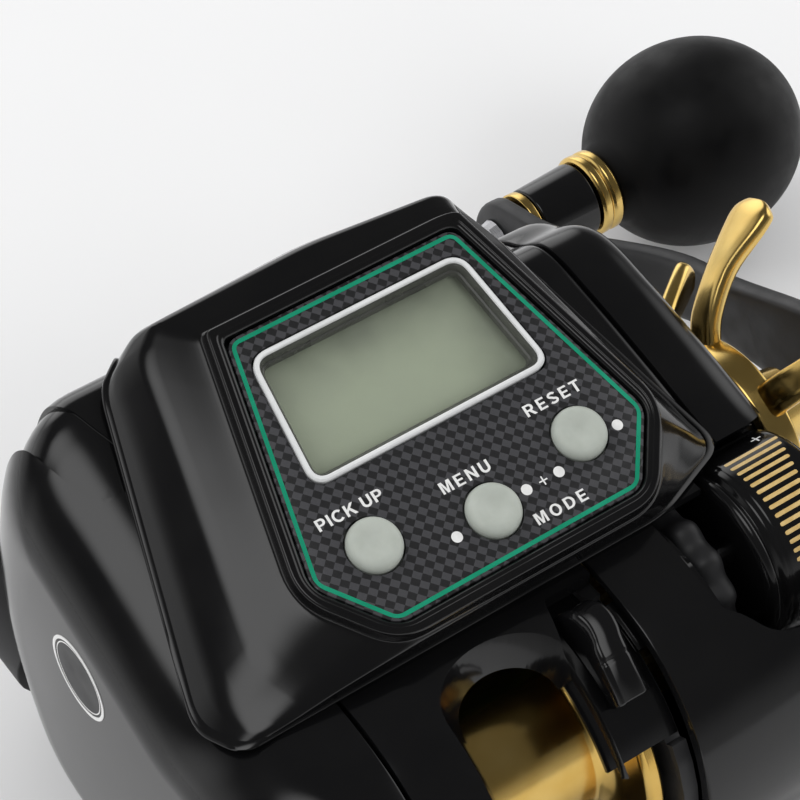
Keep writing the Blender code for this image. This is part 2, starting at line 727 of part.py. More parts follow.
def make_covers():
    """Left side cover, gear case and right side plate."""
    wall_face = SPOOL_WIDTH / 2 + SPOOL_SIDE_GAP + WALL_THICKNESS
    left_outline = cover_outline(LEFT_NOSE_SHARES)
    right_outline = cover_outline(RIGHT_NOSE_SHARES)
    left = cup("left_side_cover", left_outline, -wall_face - GAP, LEFT_FACE_X,
               LEFT_EDGE_RADIUS, COVER_WALL, gloss_black())
    socket_hole = turned("tool_socket_hole",
                         [(SOCKET_BACK_Y - OVERRUN, SOCKET_RADIUS + GAP),
                          (SOCKET_FRONT_Y + OVERRUN, SOCKET_RADIUS + GAP)], 0, 0, gloss_black())
    face_along_y(socket_hole, SOCKET_X, SOCKET_Z)
    cut(left, socket_hole)

    case = cup("gear_case", right_outline, wall_face + GAP, GEAR_CASE_X, CASE_EDGE_RADIUS,
               COVER_WALL, gloss_black())
    plate = cup("right_side_plate", right_outline, GEAR_CASE_X + GAP, RIGHT_FACE_X,
                RIGHT_EDGE_RADIUS, COVER_WALL, gloss_black())
    for cover, name in ((case, "case"), (plate, "plate")):
        pocket = turned("tool_pocket_" + name, pocket_profile(RIGHT_FACE_X + OVERRUN, 0.0),
                        POCKET_Y, POCKET_Z, gloss_black(), SIDES_FINE)
        cut(cover, pocket)
        shaft_hole = turned("tool_shaft_" + name,
                            [(PINION_X, DRIVE_SHAFT_RADIUS + GAP),
                             (RIGHT_FACE_X + OVERRUN, DRIVE_SHAFT_RADIUS + GAP)],
                            DRIVE_Y, DRIVE_Z, gloss_black(), SIDES_SMALL)
        cut(cover, shaft_hole)
    return right_outline


def face_along_y(made, x, z):
    """Turn an object that was made along X so that it points forwards."""
    made.location = (x, 0, z)
    made.rotation_euler = (0, 0, math.pi / 2)
    return made


def make_rear_guard():
    """Curved guard over the spool, open in an arch for the thumb."""
    wall_face = SPOOL_WIDTH / 2 + SPOOL_SIDE_GAP + WALL_THICKNESS
    outline = sector(SPOOL_Y, SPOOL_Z, COVER_RADIUS - GUARD_THICKNESS, COVER_RADIUS,
                     GUARD_FRONT_ANGLE, GUARD_REAR_ANGLE, 14)
    guard = extrude_x("rear_guard", outline, -wall_face + GAP, wall_face - GAP, gloss_black())
    low = COVER_RADIUS - GUARD_THICKNESS - OVERRUN / 2
    high = COVER_RADIUS + OVERRUN / 2
    rings = []
    curve_steps = 6
    stations = [(math.sin(math.pi / 2 * (i + 0.6) / (curve_steps + 0.6)),
                 1 - math.cos(math.pi / 2 * (i + 0.6) / (curve_steps + 0.6)))
                for i in range(curve_steps + 1)]
    rows = [(ARCH_HALF_WIDTH * wide, ARCH_FRONT_ANGLE + ARCH_CURVE_ANGLE * along)
            for wide, along in stations]
    straight_steps = 3
    straight = GUARD_REAR_ANGLE - ARCH_FRONT_ANGLE
    rows += [(ARCH_HALF_WIDTH,
              ARCH_FRONT_ANGLE + ARCH_CURVE_ANGLE + straight * i / straight_steps)
             for i in range(1, straight_steps + 1)]
    for half, angle in rows:
        y_share = math.cos(angle)
        z_share = math.sin(angle)
        rings.append([(-half, SPOOL_Y + low * y_share, SPOOL_Z + low * z_share),
                      (half, SPOOL_Y + low * y_share, SPOOL_Z + low * z_share),
                      (half, SPOOL_Y + high * y_share, SPOOL_Z + high * z_share),
                      (-half, SPOOL_Y + high * y_share, SPOOL_Z + high * z_share)])
    cut(guard, loft("tool_arch", rings, gloss_black()))
    slot_outline = sector(SPOOL_Y, SPOOL_Z, low, high, SLOT_FRONT_ANGLE,
                          GUARD_REAR_ANGLE + ARCH_CURVE_ANGLE, 8)
    cut(guard, extrude_x("tool_lever_slot", slot_outline, GUARD_RIGHT_X, wall_face + OVERRUN,
                         gloss_black()))


def idler_place():
    """Centre of the idler gear, between the motor pinion and the spool gear."""
    to_motor = MOTOR_PINION_RADIUS + IDLER_RADIUS + GAP
    to_spool = SPOOL_GEAR_RADIUS + IDLER_RADIUS + GAP
    base = math.hypot(MOTOR_Y - SPOOL_Y, MOTOR_Z - SPOOL_Z)
    along = (to_motor ** 2 - to_spool ** 2 + base ** 2) / (2 * base)
    side = math.sqrt(max(to_motor ** 2 - along ** 2, 0))
    unit_y = (SPOOL_Y - MOTOR_Y) / base
    unit_z = (SPOOL_Z - MOTOR_Z) / base
    return (MOTOR_Y + unit_y * along - unit_z * side, MOTOR_Z + unit_z * along + unit_y * side)


def make_frame():
    """Both walls, floor, front bars and bearing bosses in one casting."""
    inner = SPOOL_WIDTH / 2 + SPOOL_SIDE_GAP
    outer = inner + WALL_THICKNESS
    arc_steps = 12
    start = COVER_START_ANGLE
    rear_radius = COVER_RADIUS - GUARD_THICKNESS - GAP
    outline = []
    for i in range(arc_steps + 1):
        angle = start + (FRAME_TOP_ANGLE - start) * i / arc_steps
        outline.append((SPOOL_Y + rear_radius * math.cos(angle),
                        SPOOL_Z + rear_radius * math.sin(angle)))
    bar_top = FRAME_TOP + FRAME_BAR
    outline += [(SPOOL_Y + rear_radius / 2, FRAME_TOP),
                (FRAME_FRONT - 3 * FRAME_CHAMFER, FRAME_TOP),
                (FRAME_FRONT - 2 * FRAME_CHAMFER, bar_top),
                (FRAME_FRONT - FRAME_CHAMFER / 2, bar_top),
                (FRAME_FRONT, bar_top - FRAME_CHAMFER / 2),
                (FRAME_FRONT, FRAME_BOTTOM + FRAME_CHAMFER),
                (FRAME_FRONT - FRAME_CHAMFER, FRAME_BOTTOM),
                (FRAME_REAR_FLAT_Y, FRAME_BOTTOM)]
    frame = extrude_x("main_frame", outline, -outer, outer, matte_black())
    for side, name in ((-1, "left"), (1, "right")):
        boss = turned("tool_boss_" + name,
                      [(side * (inner + GAP), BEARING_BOSS_RADIUS),
                       (side * (outer + BEARING_BOSS_HEIGHT), BEARING_BOSS_RADIUS)],
                      SPOOL_Y, SPOOL_Z, matte_black())
        join(frame, boss)

    floor_top = FRAME_BOTTOM + FRAME_FLOOR
    far = BODY_FRONT + FRAME_FRONT
    room = -inner, inner
    rear_end = FRAME_FRONT - 5 * FRAME_CHAMFER
    front_wall = FRAME_FRONT - FRAME_FRONT_BAR
    cuts = [
        ("tool_spool_room", (-far, floor_top), (rear_end, far)),
        ("tool_motor_room", (rear_end - GAP, floor_top), (front_wall, FRAME_TOP - FRAME_BAR)),
        ("tool_line_window", (front_wall - GAP, WINDOW_BOTTOM), (far, FRAME_TOP - FRAME_BAR)),
        ("tool_nose_window", (front_wall - GAP, NOSE_WINDOW_BOTTOM), (far, NOSE_WINDOW_TOP))]
    for name, low, high in cuts:
        cut(frame, box(name, (room[0], *low), (room[1], *high), matte_black()))

    idler_y, idler_z = idler_place()
    bores = [
        ("tool_bearing_left", SPOOL_Y, SPOOL_Z, BEARING_RADIUS + GAP, -1),
        ("tool_bearing_right", SPOOL_Y, SPOOL_Z, BEARING_RADIUS + GAP, 1),
        ("tool_motor_bore", MOTOR_Y, MOTOR_Z, MOTOR_BOSS_RADIUS + GAP, -1),
        ("tool_idler_bore", idler_y, idler_z, IDLER_PIN_RADIUS + GAP, -1),
        ("tool_drive_bore", DRIVE_Y, DRIVE_Z, DRIVE_SHAFT_RADIUS + GAP, 1),
        ("tool_worm_left", WORM_Y, WORM_Z, WORM_RADIUS + GAP, -1),
        ("tool_worm_right", WORM_Y, WORM_Z, WORM_RADIUS + GAP, 1),
        ("tool_rod_left", ROD_Y, ROD_Z, ROD_RADIUS + GAP, -1),
        ("tool_rod_right", ROD_Y, ROD_Z, ROD_RADIUS + GAP, 1)]
    for name, y, z, radius, side in bores:
        cut(frame, turned(name, [(side * (inner - OVERRUN / 2), radius),
                                 (side * (outer + OVERRUN), radius)],
                          y, z, matte_black(), SIDES_SMALL))
    notch = sector(SPOOL_Y, SPOOL_Z, LEVER_INNER_RADIUS - GAP, LEVER_OUTER_RADIUS,
                   (ARCH_FRONT_ANGLE + LEVER_FRONT_ANGLE) / 2, GUARD_REAR_ANGLE, 8)
    cut(frame, extrude_x("tool_lever_notch", notch, inner - GAP, outer + GAP, matte_black()))
    for end_sign, name in ((-1, "rear"), (1, "front")):
        cut(frame, standing_turned("tool_foot_hole_" + name,
                                   [(0, SCREW_SHANK_RADIUS + GAP),
                                    (floor_top + OVERRUN, SCREW_SHANK_RADIUS + GAP)],
                                   end_sign * FOOT_SCREW_SPACING / 2, matte_black()))


def standing_turned(name, profile, y, finish, sides=SIDES_SCREW):
    """Turn a profile of (z, radius) points round an upright line."""
    step = 2 * math.pi / sides
    rings = [[(r * math.cos(i * step), r * math.sin(i * step), z) for i in range(sides)]
             for z, r in profile]
    return loft(name, rings, finish, place=(0, y, 0))


def make_foot():
    """Flat-bottomed foot that the rod's reel seat clamps."""
    half = FOOT_LENGTH / 2
    seat = FOOT_SEAT_LENGTH / 2
    stations = [(-half, FOOT_END_WIDTH * 0.62, FOOT_END_THICKNESS),
                (-half + FOOT_END_WIDTH * 0.25, FOOT_END_WIDTH, FOOT_END_THICKNESS),
                (-seat - FOOT_THICKNESS * 2, FOOT_END_WIDTH * 1.15, FOOT_END_THICKNESS * 1.3),
                (-seat, FOOT_WIDTH, FOOT_THICKNESS)]
    stations += [(-y, width, height) for y, width, height in reversed(stations)]
    rings = []
    for y, width, height in stations:
        top = width * 0.42
        rings.append([(-width / 2, y, 0), (width / 2, y, 0), (width / 2, y, height * 0.6),
                      (top, y, height), (-top, y, height), (-width / 2, y, height * 0.6)])
    foot = loft("reel_foot", rings, steel())
    head_seat = SCREW_HEAD_HEIGHT + GAP
    for end_sign, name in ((-1, "rear"), (1, "front")):
        y = end_sign * FOOT_SCREW_SPACING / 2
        cut(foot, standing_turned("tool_counterbore_" + name,
                                  [(-OVERRUN, SCREW_HEAD_RADIUS + GAP),
                                   (head_seat + GAP, SCREW_HEAD_RADIUS + GAP)], y, steel()))
        cut(foot, standing_turned("tool_shank_" + name,
                                  [(GAP, SCREW_SHANK_RADIUS + GAP),
                                   (FOOT_THICKNESS + OVERRUN, SCREW_SHANK_RADIUS + GAP)],
                                  y, steel()))
        profile = [(GAP + SCREW_HEAD_HEIGHT / 2, SCREW_SOCKET_RADIUS * 0.8),
                   (GAP, SCREW_SOCKET_RADIUS), (GAP, SCREW_HEAD_RADIUS),
                   (head_seat, SCREW_HEAD_RADIUS), (head_seat, SCREW_SHANK_RADIUS),
                   (FRAME_BOTTOM + FRAME_FLOOR, SCREW_SHANK_RADIUS)]
        standing_turned("foot_screw_" + name, profile, y, steel())


def make_nose_cover():
    """Curved cover in front of the motor."""
    wall_face = SPOOL_WIDTH / 2 + SPOOL_SIDE_GAP + WALL_THICKNESS
    back = FRAME_FRONT + GAP
    depth = BODY_FRONT - back
    middle = (NOSE_TOP_Z + NOSE_BOTTOM_Z) / 2
    half = (NOSE_TOP_Z - NOSE_BOTTOM_Z) / 2
    outside = []
    inside = []
    for along, height in NOSE_SHARES:
        rise = (2 * height - 1) * half
        outside.append((back + along * depth, middle + rise))
        inside.append((back + along * (depth - NOSE_WALL), middle + rise * (1 - NOSE_WALL / half)))
    extrude_x("nose_cover", outside + inside[::-1], -wall_face + GAP, wall_face - GAP,
              gloss_black())


def make_spool():
    """Gold spool, its shaft, bearings and the gear that the motor turns."""
    half = SPOOL_WIDTH / 2
    rim = SPOOL_RIM_THICKNESS
    flange = half - SPOOL_FLANGE_THICKNESS
    bore = SPOOL_SHAFT_RADIUS + GAP
    flare = SPOOL_ARBOR_RADIUS + SPOOL_FLANGE_THICKNESS
    profile = [
        (-half, bore), (-half, SPOOL_FLANGE_RADIUS - rim), (-half + rim / 2, SPOOL_FLANGE_RADIUS),
        (-flange, SPOOL_FLANGE_RADIUS), (-flange + rim / 2, SPOOL_FLANGE_RADIUS - rim),
        (-flange + rim / 2, flare), (-flange + SPOOL_FLANGE_THICKNESS, SPOOL_ARBOR_RADIUS),
        (flange - SPOOL_FLANGE_THICKNESS, SPOOL_ARBOR_RADIUS), (flange - rim / 2, flare),
        (flange - rim / 2, SPOOL_FLANGE_RADIUS - rim), (flange, SPOOL_FLANGE_RADIUS),
        (half - rim / 2, SPOOL_FLANGE_RADIUS), (half, SPOOL_FLANGE_RADIUS - rim), (half, bore)]
    turned("spool", profile, SPOOL_Y, SPOOL_Z, gold(), SIDES_FINE, closed=True)
    reach = SPOOL_SHAFT_REACH
    tip = SPOOL_SHAFT_RADIUS / 3
    turned("spool_shaft", [(-reach, SPOOL_SHAFT_RADIUS - tip), (-reach + tip, SPOOL_SHAFT_RADIUS),
                           (reach - tip, SPOOL_SHAFT_RADIUS), (reach, SPOOL_SHAFT_RADIUS - tip)],
           SPOOL_Y, SPOOL_Z, steel(), SIDES_SMALL)
    start = half + SPOOL_SIDE_GAP + GAP
    for side, name in ((-1, "left"), (1, "right")):
        profile = [(side * start, bore), (side * start, BEARING_RADIUS),
                   (side * (start + BEARING_WIDTH), BEARING_RADIUS),
                   (side * (start + BEARING_WIDTH), bore)]
        turned("bearing_" + name, profile, SPOOL_Y, SPOOL_Z, steel(), SIDES_ROUND, closed=True)
    gear("spool_gear", 30, SPOOL_GEAR_RADIUS, bore, GEAR_LEFT_X - GEAR_WIDTH, GEAR_WIDTH,
         SPOOL_Y, SPOOL_Z, brass())
    gear("pinion_gear", 10, PINION_RADIUS, bore, PINION_X, PINION_WIDTH, SPOOL_Y, SPOOL_Z,
         brass())


def make_motor():
    """Motor in the nose, its shaft and the idler that passes the drive on."""
    bore = MOTOR_SHAFT_RADIUS + GAP
    edge = MOTOR_EDGE
    boss_x = -(SPOOL_WIDTH / 2 + SPOOL_SIDE_GAP + WALL_THICKNESS)
    depth = MOTOR_LEFT_X + MOTOR_RADIUS / 2
    profile = [(depth, bore), (boss_x, bore), (boss_x, MOTOR_BOSS_RADIUS),
               (MOTOR_LEFT_X, MOTOR_BOSS_RADIUS), (MOTOR_LEFT_X, MOTOR_RADIUS - edge),
               (MOTOR_LEFT_X + edge, MOTOR_RADIUS), (MOTOR_RIGHT_X - edge, MOTOR_RADIUS),
               (MOTOR_RIGHT_X, MOTOR_RADIUS - edge)]
    turned("drive_motor", profile, MOTOR_Y, MOTOR_Z, steel())
    gear_end = GEAR_LEFT_X - GEAR_WIDTH
    turned("motor_shaft", [(gear_end - GAP, MOTOR_SHAFT_RADIUS), (depth - GAP, MOTOR_SHAFT_RADIUS)],
           MOTOR_Y, MOTOR_Z, steel(), SIDES_SMALL)
    gear("motor_pinion", 10, MOTOR_PINION_RADIUS, bore, gear_end, GEAR_WIDTH, MOTOR_Y, MOTOR_Z,
         brass())
    idler_y, idler_z = idler_place()
    gear("idler_gear", 22, IDLER_RADIUS, IDLER_PIN_RADIUS + GAP, gear_end, GEAR_WIDTH,
         idler_y, idler_z, brass())
    inner = SPOOL_WIDTH / 2 + SPOOL_SIDE_GAP
    turned("idler_pin", [(gear_end - GAP, IDLER_PIN_RADIUS), (-inner - GAP, IDLER_PIN_RADIUS)],
           idler_y, idler_z, steel(), SIDES_SMALL)


def make_clutch_lever():
    """Thumb fin, its arm behind the frame wall and the ring it swings on."""
    outer_wall = SPOOL_WIDTH / 2 + SPOOL_SIDE_GAP + WALL_THICKNESS
    arm_x = outer_wall + 2 * GAP
    arm_end = arm_x + LEVER_ARM_THICKNESS
    fin = extrude_x("clutch_lever",
                    sector(SPOOL_Y, SPOOL_Z, LEVER_INNER_RADIUS, LEVER_OUTER_RADIUS,
                           LEVER_FRONT_ANGLE, LEVER_REAR_ANGLE, 8),
                    LEVER_LEFT_X, LEVER_RIGHT_X, gloss_black())
    post = LEVER_INNER_RADIUS + LEVER_POST_THICKNESS
    middle = LEVER_FRONT_ANGLE + LEVER_ARM_ANGLE
    join(fin, extrude_x("tool_lever_post",
                        sector(SPOOL_Y, SPOOL_Z, LEVER_INNER_RADIUS + GAP / 3, post,
                               LEVER_FRONT_ANGLE + LEVER_ARM_ANGLE / 4,
                               middle + LEVER_ARM_ANGLE, 4),
                        LEVER_RIGHT_X - LEVER_ARM_THICKNESS, arm_end - GAP / 3, gloss_black()))
    hub = BEARING_BOSS_RADIUS + GAP
    hub_outer = hub + LEVER_HUB_WIDTH
    join(fin, extrude_x("tool_lever_arm",
                        sector(SPOOL_Y, SPOOL_Z, (hub + hub_outer) / 2, post - GAP / 2,
                               middle - LEVER_ARM_ANGLE / 2, middle + LEVER_ARM_ANGLE / 2, 4),
                        arm_x + GAP / 3, arm_end, gloss_black()))
    join(fin, turned("tool_lever_hub", [(arm_x, hub), (arm_x, hub_outer),
                                        (arm_end - GAP / 3, hub_outer), (arm_end - GAP / 3, hub)],
                     SPOOL_Y, SPOOL_Z, gloss_black(), SIDES_ROUND, closed=True))
    put_origin(fin, SPOOL_Y, SPOOL_Z)


def make_dial(right_outline):
    """Fluted speed dial, its shaft and sensor, the scale hood and the pocket."""
    bore = DIAL_SHAFT_RADIUS + GAP
    wheel_x = POCKET_LEFT_X + POCKET_WALL + 3 * GAP
    count = DIAL_FLUTES * 5
    angles = [2 * math.pi * i / count for i in range(count)]
    radii = [DIAL_RADIUS - DIAL_FLUTE * (1 - math.cos(DIAL_FLUTES * a)) / 2 for a in angles]

    def ring(x, inset):
        return [(x, DIAL_Y + (r - inset) * math.cos(a), DIAL_Z + (r - inset) * math.sin(a))
                for a, r in zip(angles, radii)]

    rings = [ring(wheel_x, DIAL_FLUTE), ring(wheel_x + DIAL_FLUTE, 0),
             ring(wheel_x + DIAL_WIDTH - DIAL_FLUTE, 0), ring(wheel_x + DIAL_WIDTH, DIAL_FLUTE)]
    rings += [[(x, DIAL_Y + bore * math.cos(a), DIAL_Z + bore * math.sin(a)) for a in angles]
              for x in (wheel_x + DIAL_WIDTH, wheel_x)]
    put_origin(loft("speed_dial", rings, gloss_black(), closed=True), DIAL_Y, DIAL_Z)

    hood_inner = HOOD_RADIUS - HOOD_WALL
    sensor_x = HOOD_LEFT_X + 3 * HOOD_STEP
    shaft_end = sensor_x + SENSOR_LENGTH / 2
    turned("dial_shaft", [(POCKET_LEFT_X + GAP, DIAL_SHAFT_RADIUS), (shaft_end, DIAL_SHAFT_RADIUS)],
           DIAL_Y, DIAL_Z, steel(), SIDES_SMALL)
    turned("dial_sensor", [(shaft_end + GAP, bore), (sensor_x, bore), (sensor_x, SENSOR_RADIUS),
                           (sensor_x + SENSOR_LENGTH, SENSOR_RADIUS)],
           DIAL_Y, DIAL_Z, matte_black(), SIDES_SMALL)
    step = HOOD_STEP
    x = HOOD_LEFT_X
    end = HOOD_RIGHT_X
    small = HOOD_RADIUS - 3 * step
    profile = [(end - HOOD_WALL, hood_inner), (x + 3 * step, hood_inner),
               (x + 3 * step - GAP, small), (x + HOOD_WALL, small - step), (x + HOOD_WALL, bore),
               (x, bore), (x, small), (x + step * 0.6, small + step * 0.5),
               (x + step * 0.8, small + step), (x + step * 1.7, small + step * 1.4),
               (x + step * 1.9, small + 2 * step), (x + step * 2.8, small + step * 2.4),
               (x + step * 3.1, HOOD_RADIUS), (end - HOOD_EDGE, HOOD_RADIUS),
               (end - HOOD_EDGE * 0.3, HOOD_RADIUS - HOOD_EDGE * 0.3),
               (end, HOOD_RADIUS - HOOD_EDGE)]
    turned("scale_hood", profile, DIAL_Y, DIAL_Z, gloss_black(), SIDES_FINE)

    left = POCKET_LEFT_X + GAP
    inner = pocket_profile(RIGHT_FACE_X - GAP, GAP + POCKET_WALL)
    outer = pocket_profile(RIGHT_FACE_X - GAP, GAP)
    liner = turned("dial_pocket", inner + outer[::-1], POCKET_Y, POCKET_Z, matte_black(),
                   SIDES_FINE)
    combine(liner, extrude_x("tool_case_shape", shrink(right_outline, GAP), left - OVERRUN,
                             RIGHT_FACE_X + OVERRUN, matte_black()), 'INTERSECT')
    cut(liner, turned("tool_dial_shaft", [(left - OVERRUN, bore), (left + OVERRUN, bore)],
                      DIAL_Y, DIAL_Z, matte_black(), SIDES_SMALL))


def make_drive():
    """Drive shaft, gears, drag washers, bearing and collar."""
    bore = DRIVE_SHAFT_RADIUS + GAP
    inner = SPOOL_WIDTH / 2 + SPOOL_SIDE_GAP
    seat = HANDLE_HUB_X - HANDLE_THICKNESS / 2 - GAP
    turned("drive_shaft", [(inner + GAP, DRIVE_SHAFT_RADIUS), (seat, DRIVE_SHAFT_RADIUS),
                           (seat, DRIVE_SHAFT_RADIUS * 0.85),
                           (DRIVE_SHAFT_END_X, DRIVE_SHAFT_RADIUS * 0.85)],
           DRIVE_Y, DRIVE_Z, steel(), SIDES_SMALL)
    to_pinion = math.hypot(DRIVE_Y - SPOOL_Y, DRIVE_Z - SPOOL_Z)
    gear_radius = to_pinion - PINION_RADIUS - GAP
    gear("drive_gear", 34, gear_radius, bore, DRIVE_GEAR_X, DRIVE_GEAR_WIDTH, DRIVE_Y, DRIVE_Z,
         brass())
    to_worm = math.hypot(WORM_Y - DRIVE_Y, WORM_Z - DRIVE_Z)
    gear("worm_drive_gear", 20, to_worm - WORM_GEAR_RADIUS - GAP, bore, WORM_GEAR_X,
         WORM_GEAR_WIDTH, DRIVE_Y, DRIVE_Z, matte_black())
    washer_x = DRIVE_GEAR_X + DRIVE_GEAR_WIDTH + GAP
    plate_x = washer_x + DRAG_WASHER_THICKNESS + GAP
    for name, x, finish in (("drag_washer", washer_x, matte_black()),
                            ("pressure_plate", plate_x, steel())):
        end = x + DRAG_WASHER_THICKNESS
        turned(name, [(x, bore), (x, DRAG_WASHER_RADIUS), (end, DRAG_WASHER_RADIUS), (end, bore)],
               DRIVE_Y, DRIVE_Z, finish, SIDES_ROUND, closed=True)
    end = ROLLER_X + ROLLER_WIDTH
    turned("roller_clutch", [(ROLLER_X, bore), (ROLLER_X, ROLLER_RADIUS), (end, ROLLER_RADIUS),
                             (end, bore)], DRIVE_Y, DRIVE_Z, steel(), SIDES_ROUND, closed=True)
    start = RIGHT_FACE_X + GAP
    edge = GAP * 3
    turned("drag_collar", [(start, bore), (start, COLLAR_RADIUS),
                           (COLLAR_END_X - edge, COLLAR_RADIUS),
                           (COLLAR_END_X, COLLAR_RADIUS - edge), (COLLAR_END_X, bore)],
           DRIVE_Y, DRIVE_Z, gloss_black(), SIDES_ROUND, closed=True)


def make_star_drag():
    """Gold ring and hub with arms that lean out towards the handle."""
    bore = DRIVE_SHAFT_RADIUS + GAP
    web = COLLAR_END_X + GAP
    ring_end = STAR_X + STAR_RING_DEPTH
    hub_start = web + STAR_RING_WALL
    hub_end = STAR_X + STAR_HUB_LENGTH
    profile = [(web, bore), (web, STAR_RING_RADIUS - STAR_RING_WALL),
               (STAR_X, STAR_RING_RADIUS - STAR_RING_WALL), (STAR_X, STAR_RING_RADIUS - GAP),
               (STAR_X + GAP, STAR_RING_RADIUS), (ring_end - GAP, STAR_RING_RADIUS),
               (ring_end, STAR_RING_RADIUS - GAP), (hub_start, STAR_HUB_RADIUS * 1.3),
               (hub_start + GAP, STAR_HUB_RADIUS), (hub_end, STAR_HUB_RADIUS * 0.85),
               (hub_end, bore)]
    star = turned("star_drag", profile, DRIVE_Y, DRIVE_Z, gold(), SIDES_ROUND, closed=True)
    rise = STAR_TIP_RADIUS - STAR_RING_RADIUS
    reach = STAR_TIP_X - STAR_X
    # Stations of one arm: shares of its reach and rise, and its width
    stations = [(0.17, -0.09, STAR_ARM_ROOT_WIDTH), (0.26, 0.22, STAR_ARM_ROOT_WIDTH),
                (0.50, 0.58, STAR_ARM_ROOT_WIDTH), (0.80, 0.86, STAR_ARM_WIDTH),
                (0.93, 0.97, STAR_ARM_WIDTH), (1.0, 1.0, STAR_ARM_WIDTH * 0.6)]
    for index in range(STAR_ARMS):
        angle = STAR_FIRST_ANGLE + 2 * math.pi * index / STAR_ARMS
        out = Vector((0, math.cos(angle), math.sin(angle)))
        side = Vector((0, -math.sin(angle), math.cos(angle)))
        axis = Vector((1, 0, 0))
        centre = Vector((0, DRIVE_Y, DRIVE_Z))
        path = [centre + axis * (STAR_X + a * reach) + out * (STAR_RING_RADIUS + b * rise)
                for a, b, _ in stations]
        rings = []
        for i, (_, _, width) in enumerate(stations):
            ahead = path[min(i + 1, len(path) - 1)] - path[max(i - 1, 0)]
            square = ahead.cross(side).normalized() * STAR_ARM_THICKNESS / 2
            if i == len(stations) - 1:
                square = square * 0.55
            across = side * width / 2
            rings.append([path[i] + across + square, path[i] + across - square,
                          path[i] - across - square, path[i] - across + square])
        join(star, loft("tool_star_arm_" + str(index), rings, gold()))


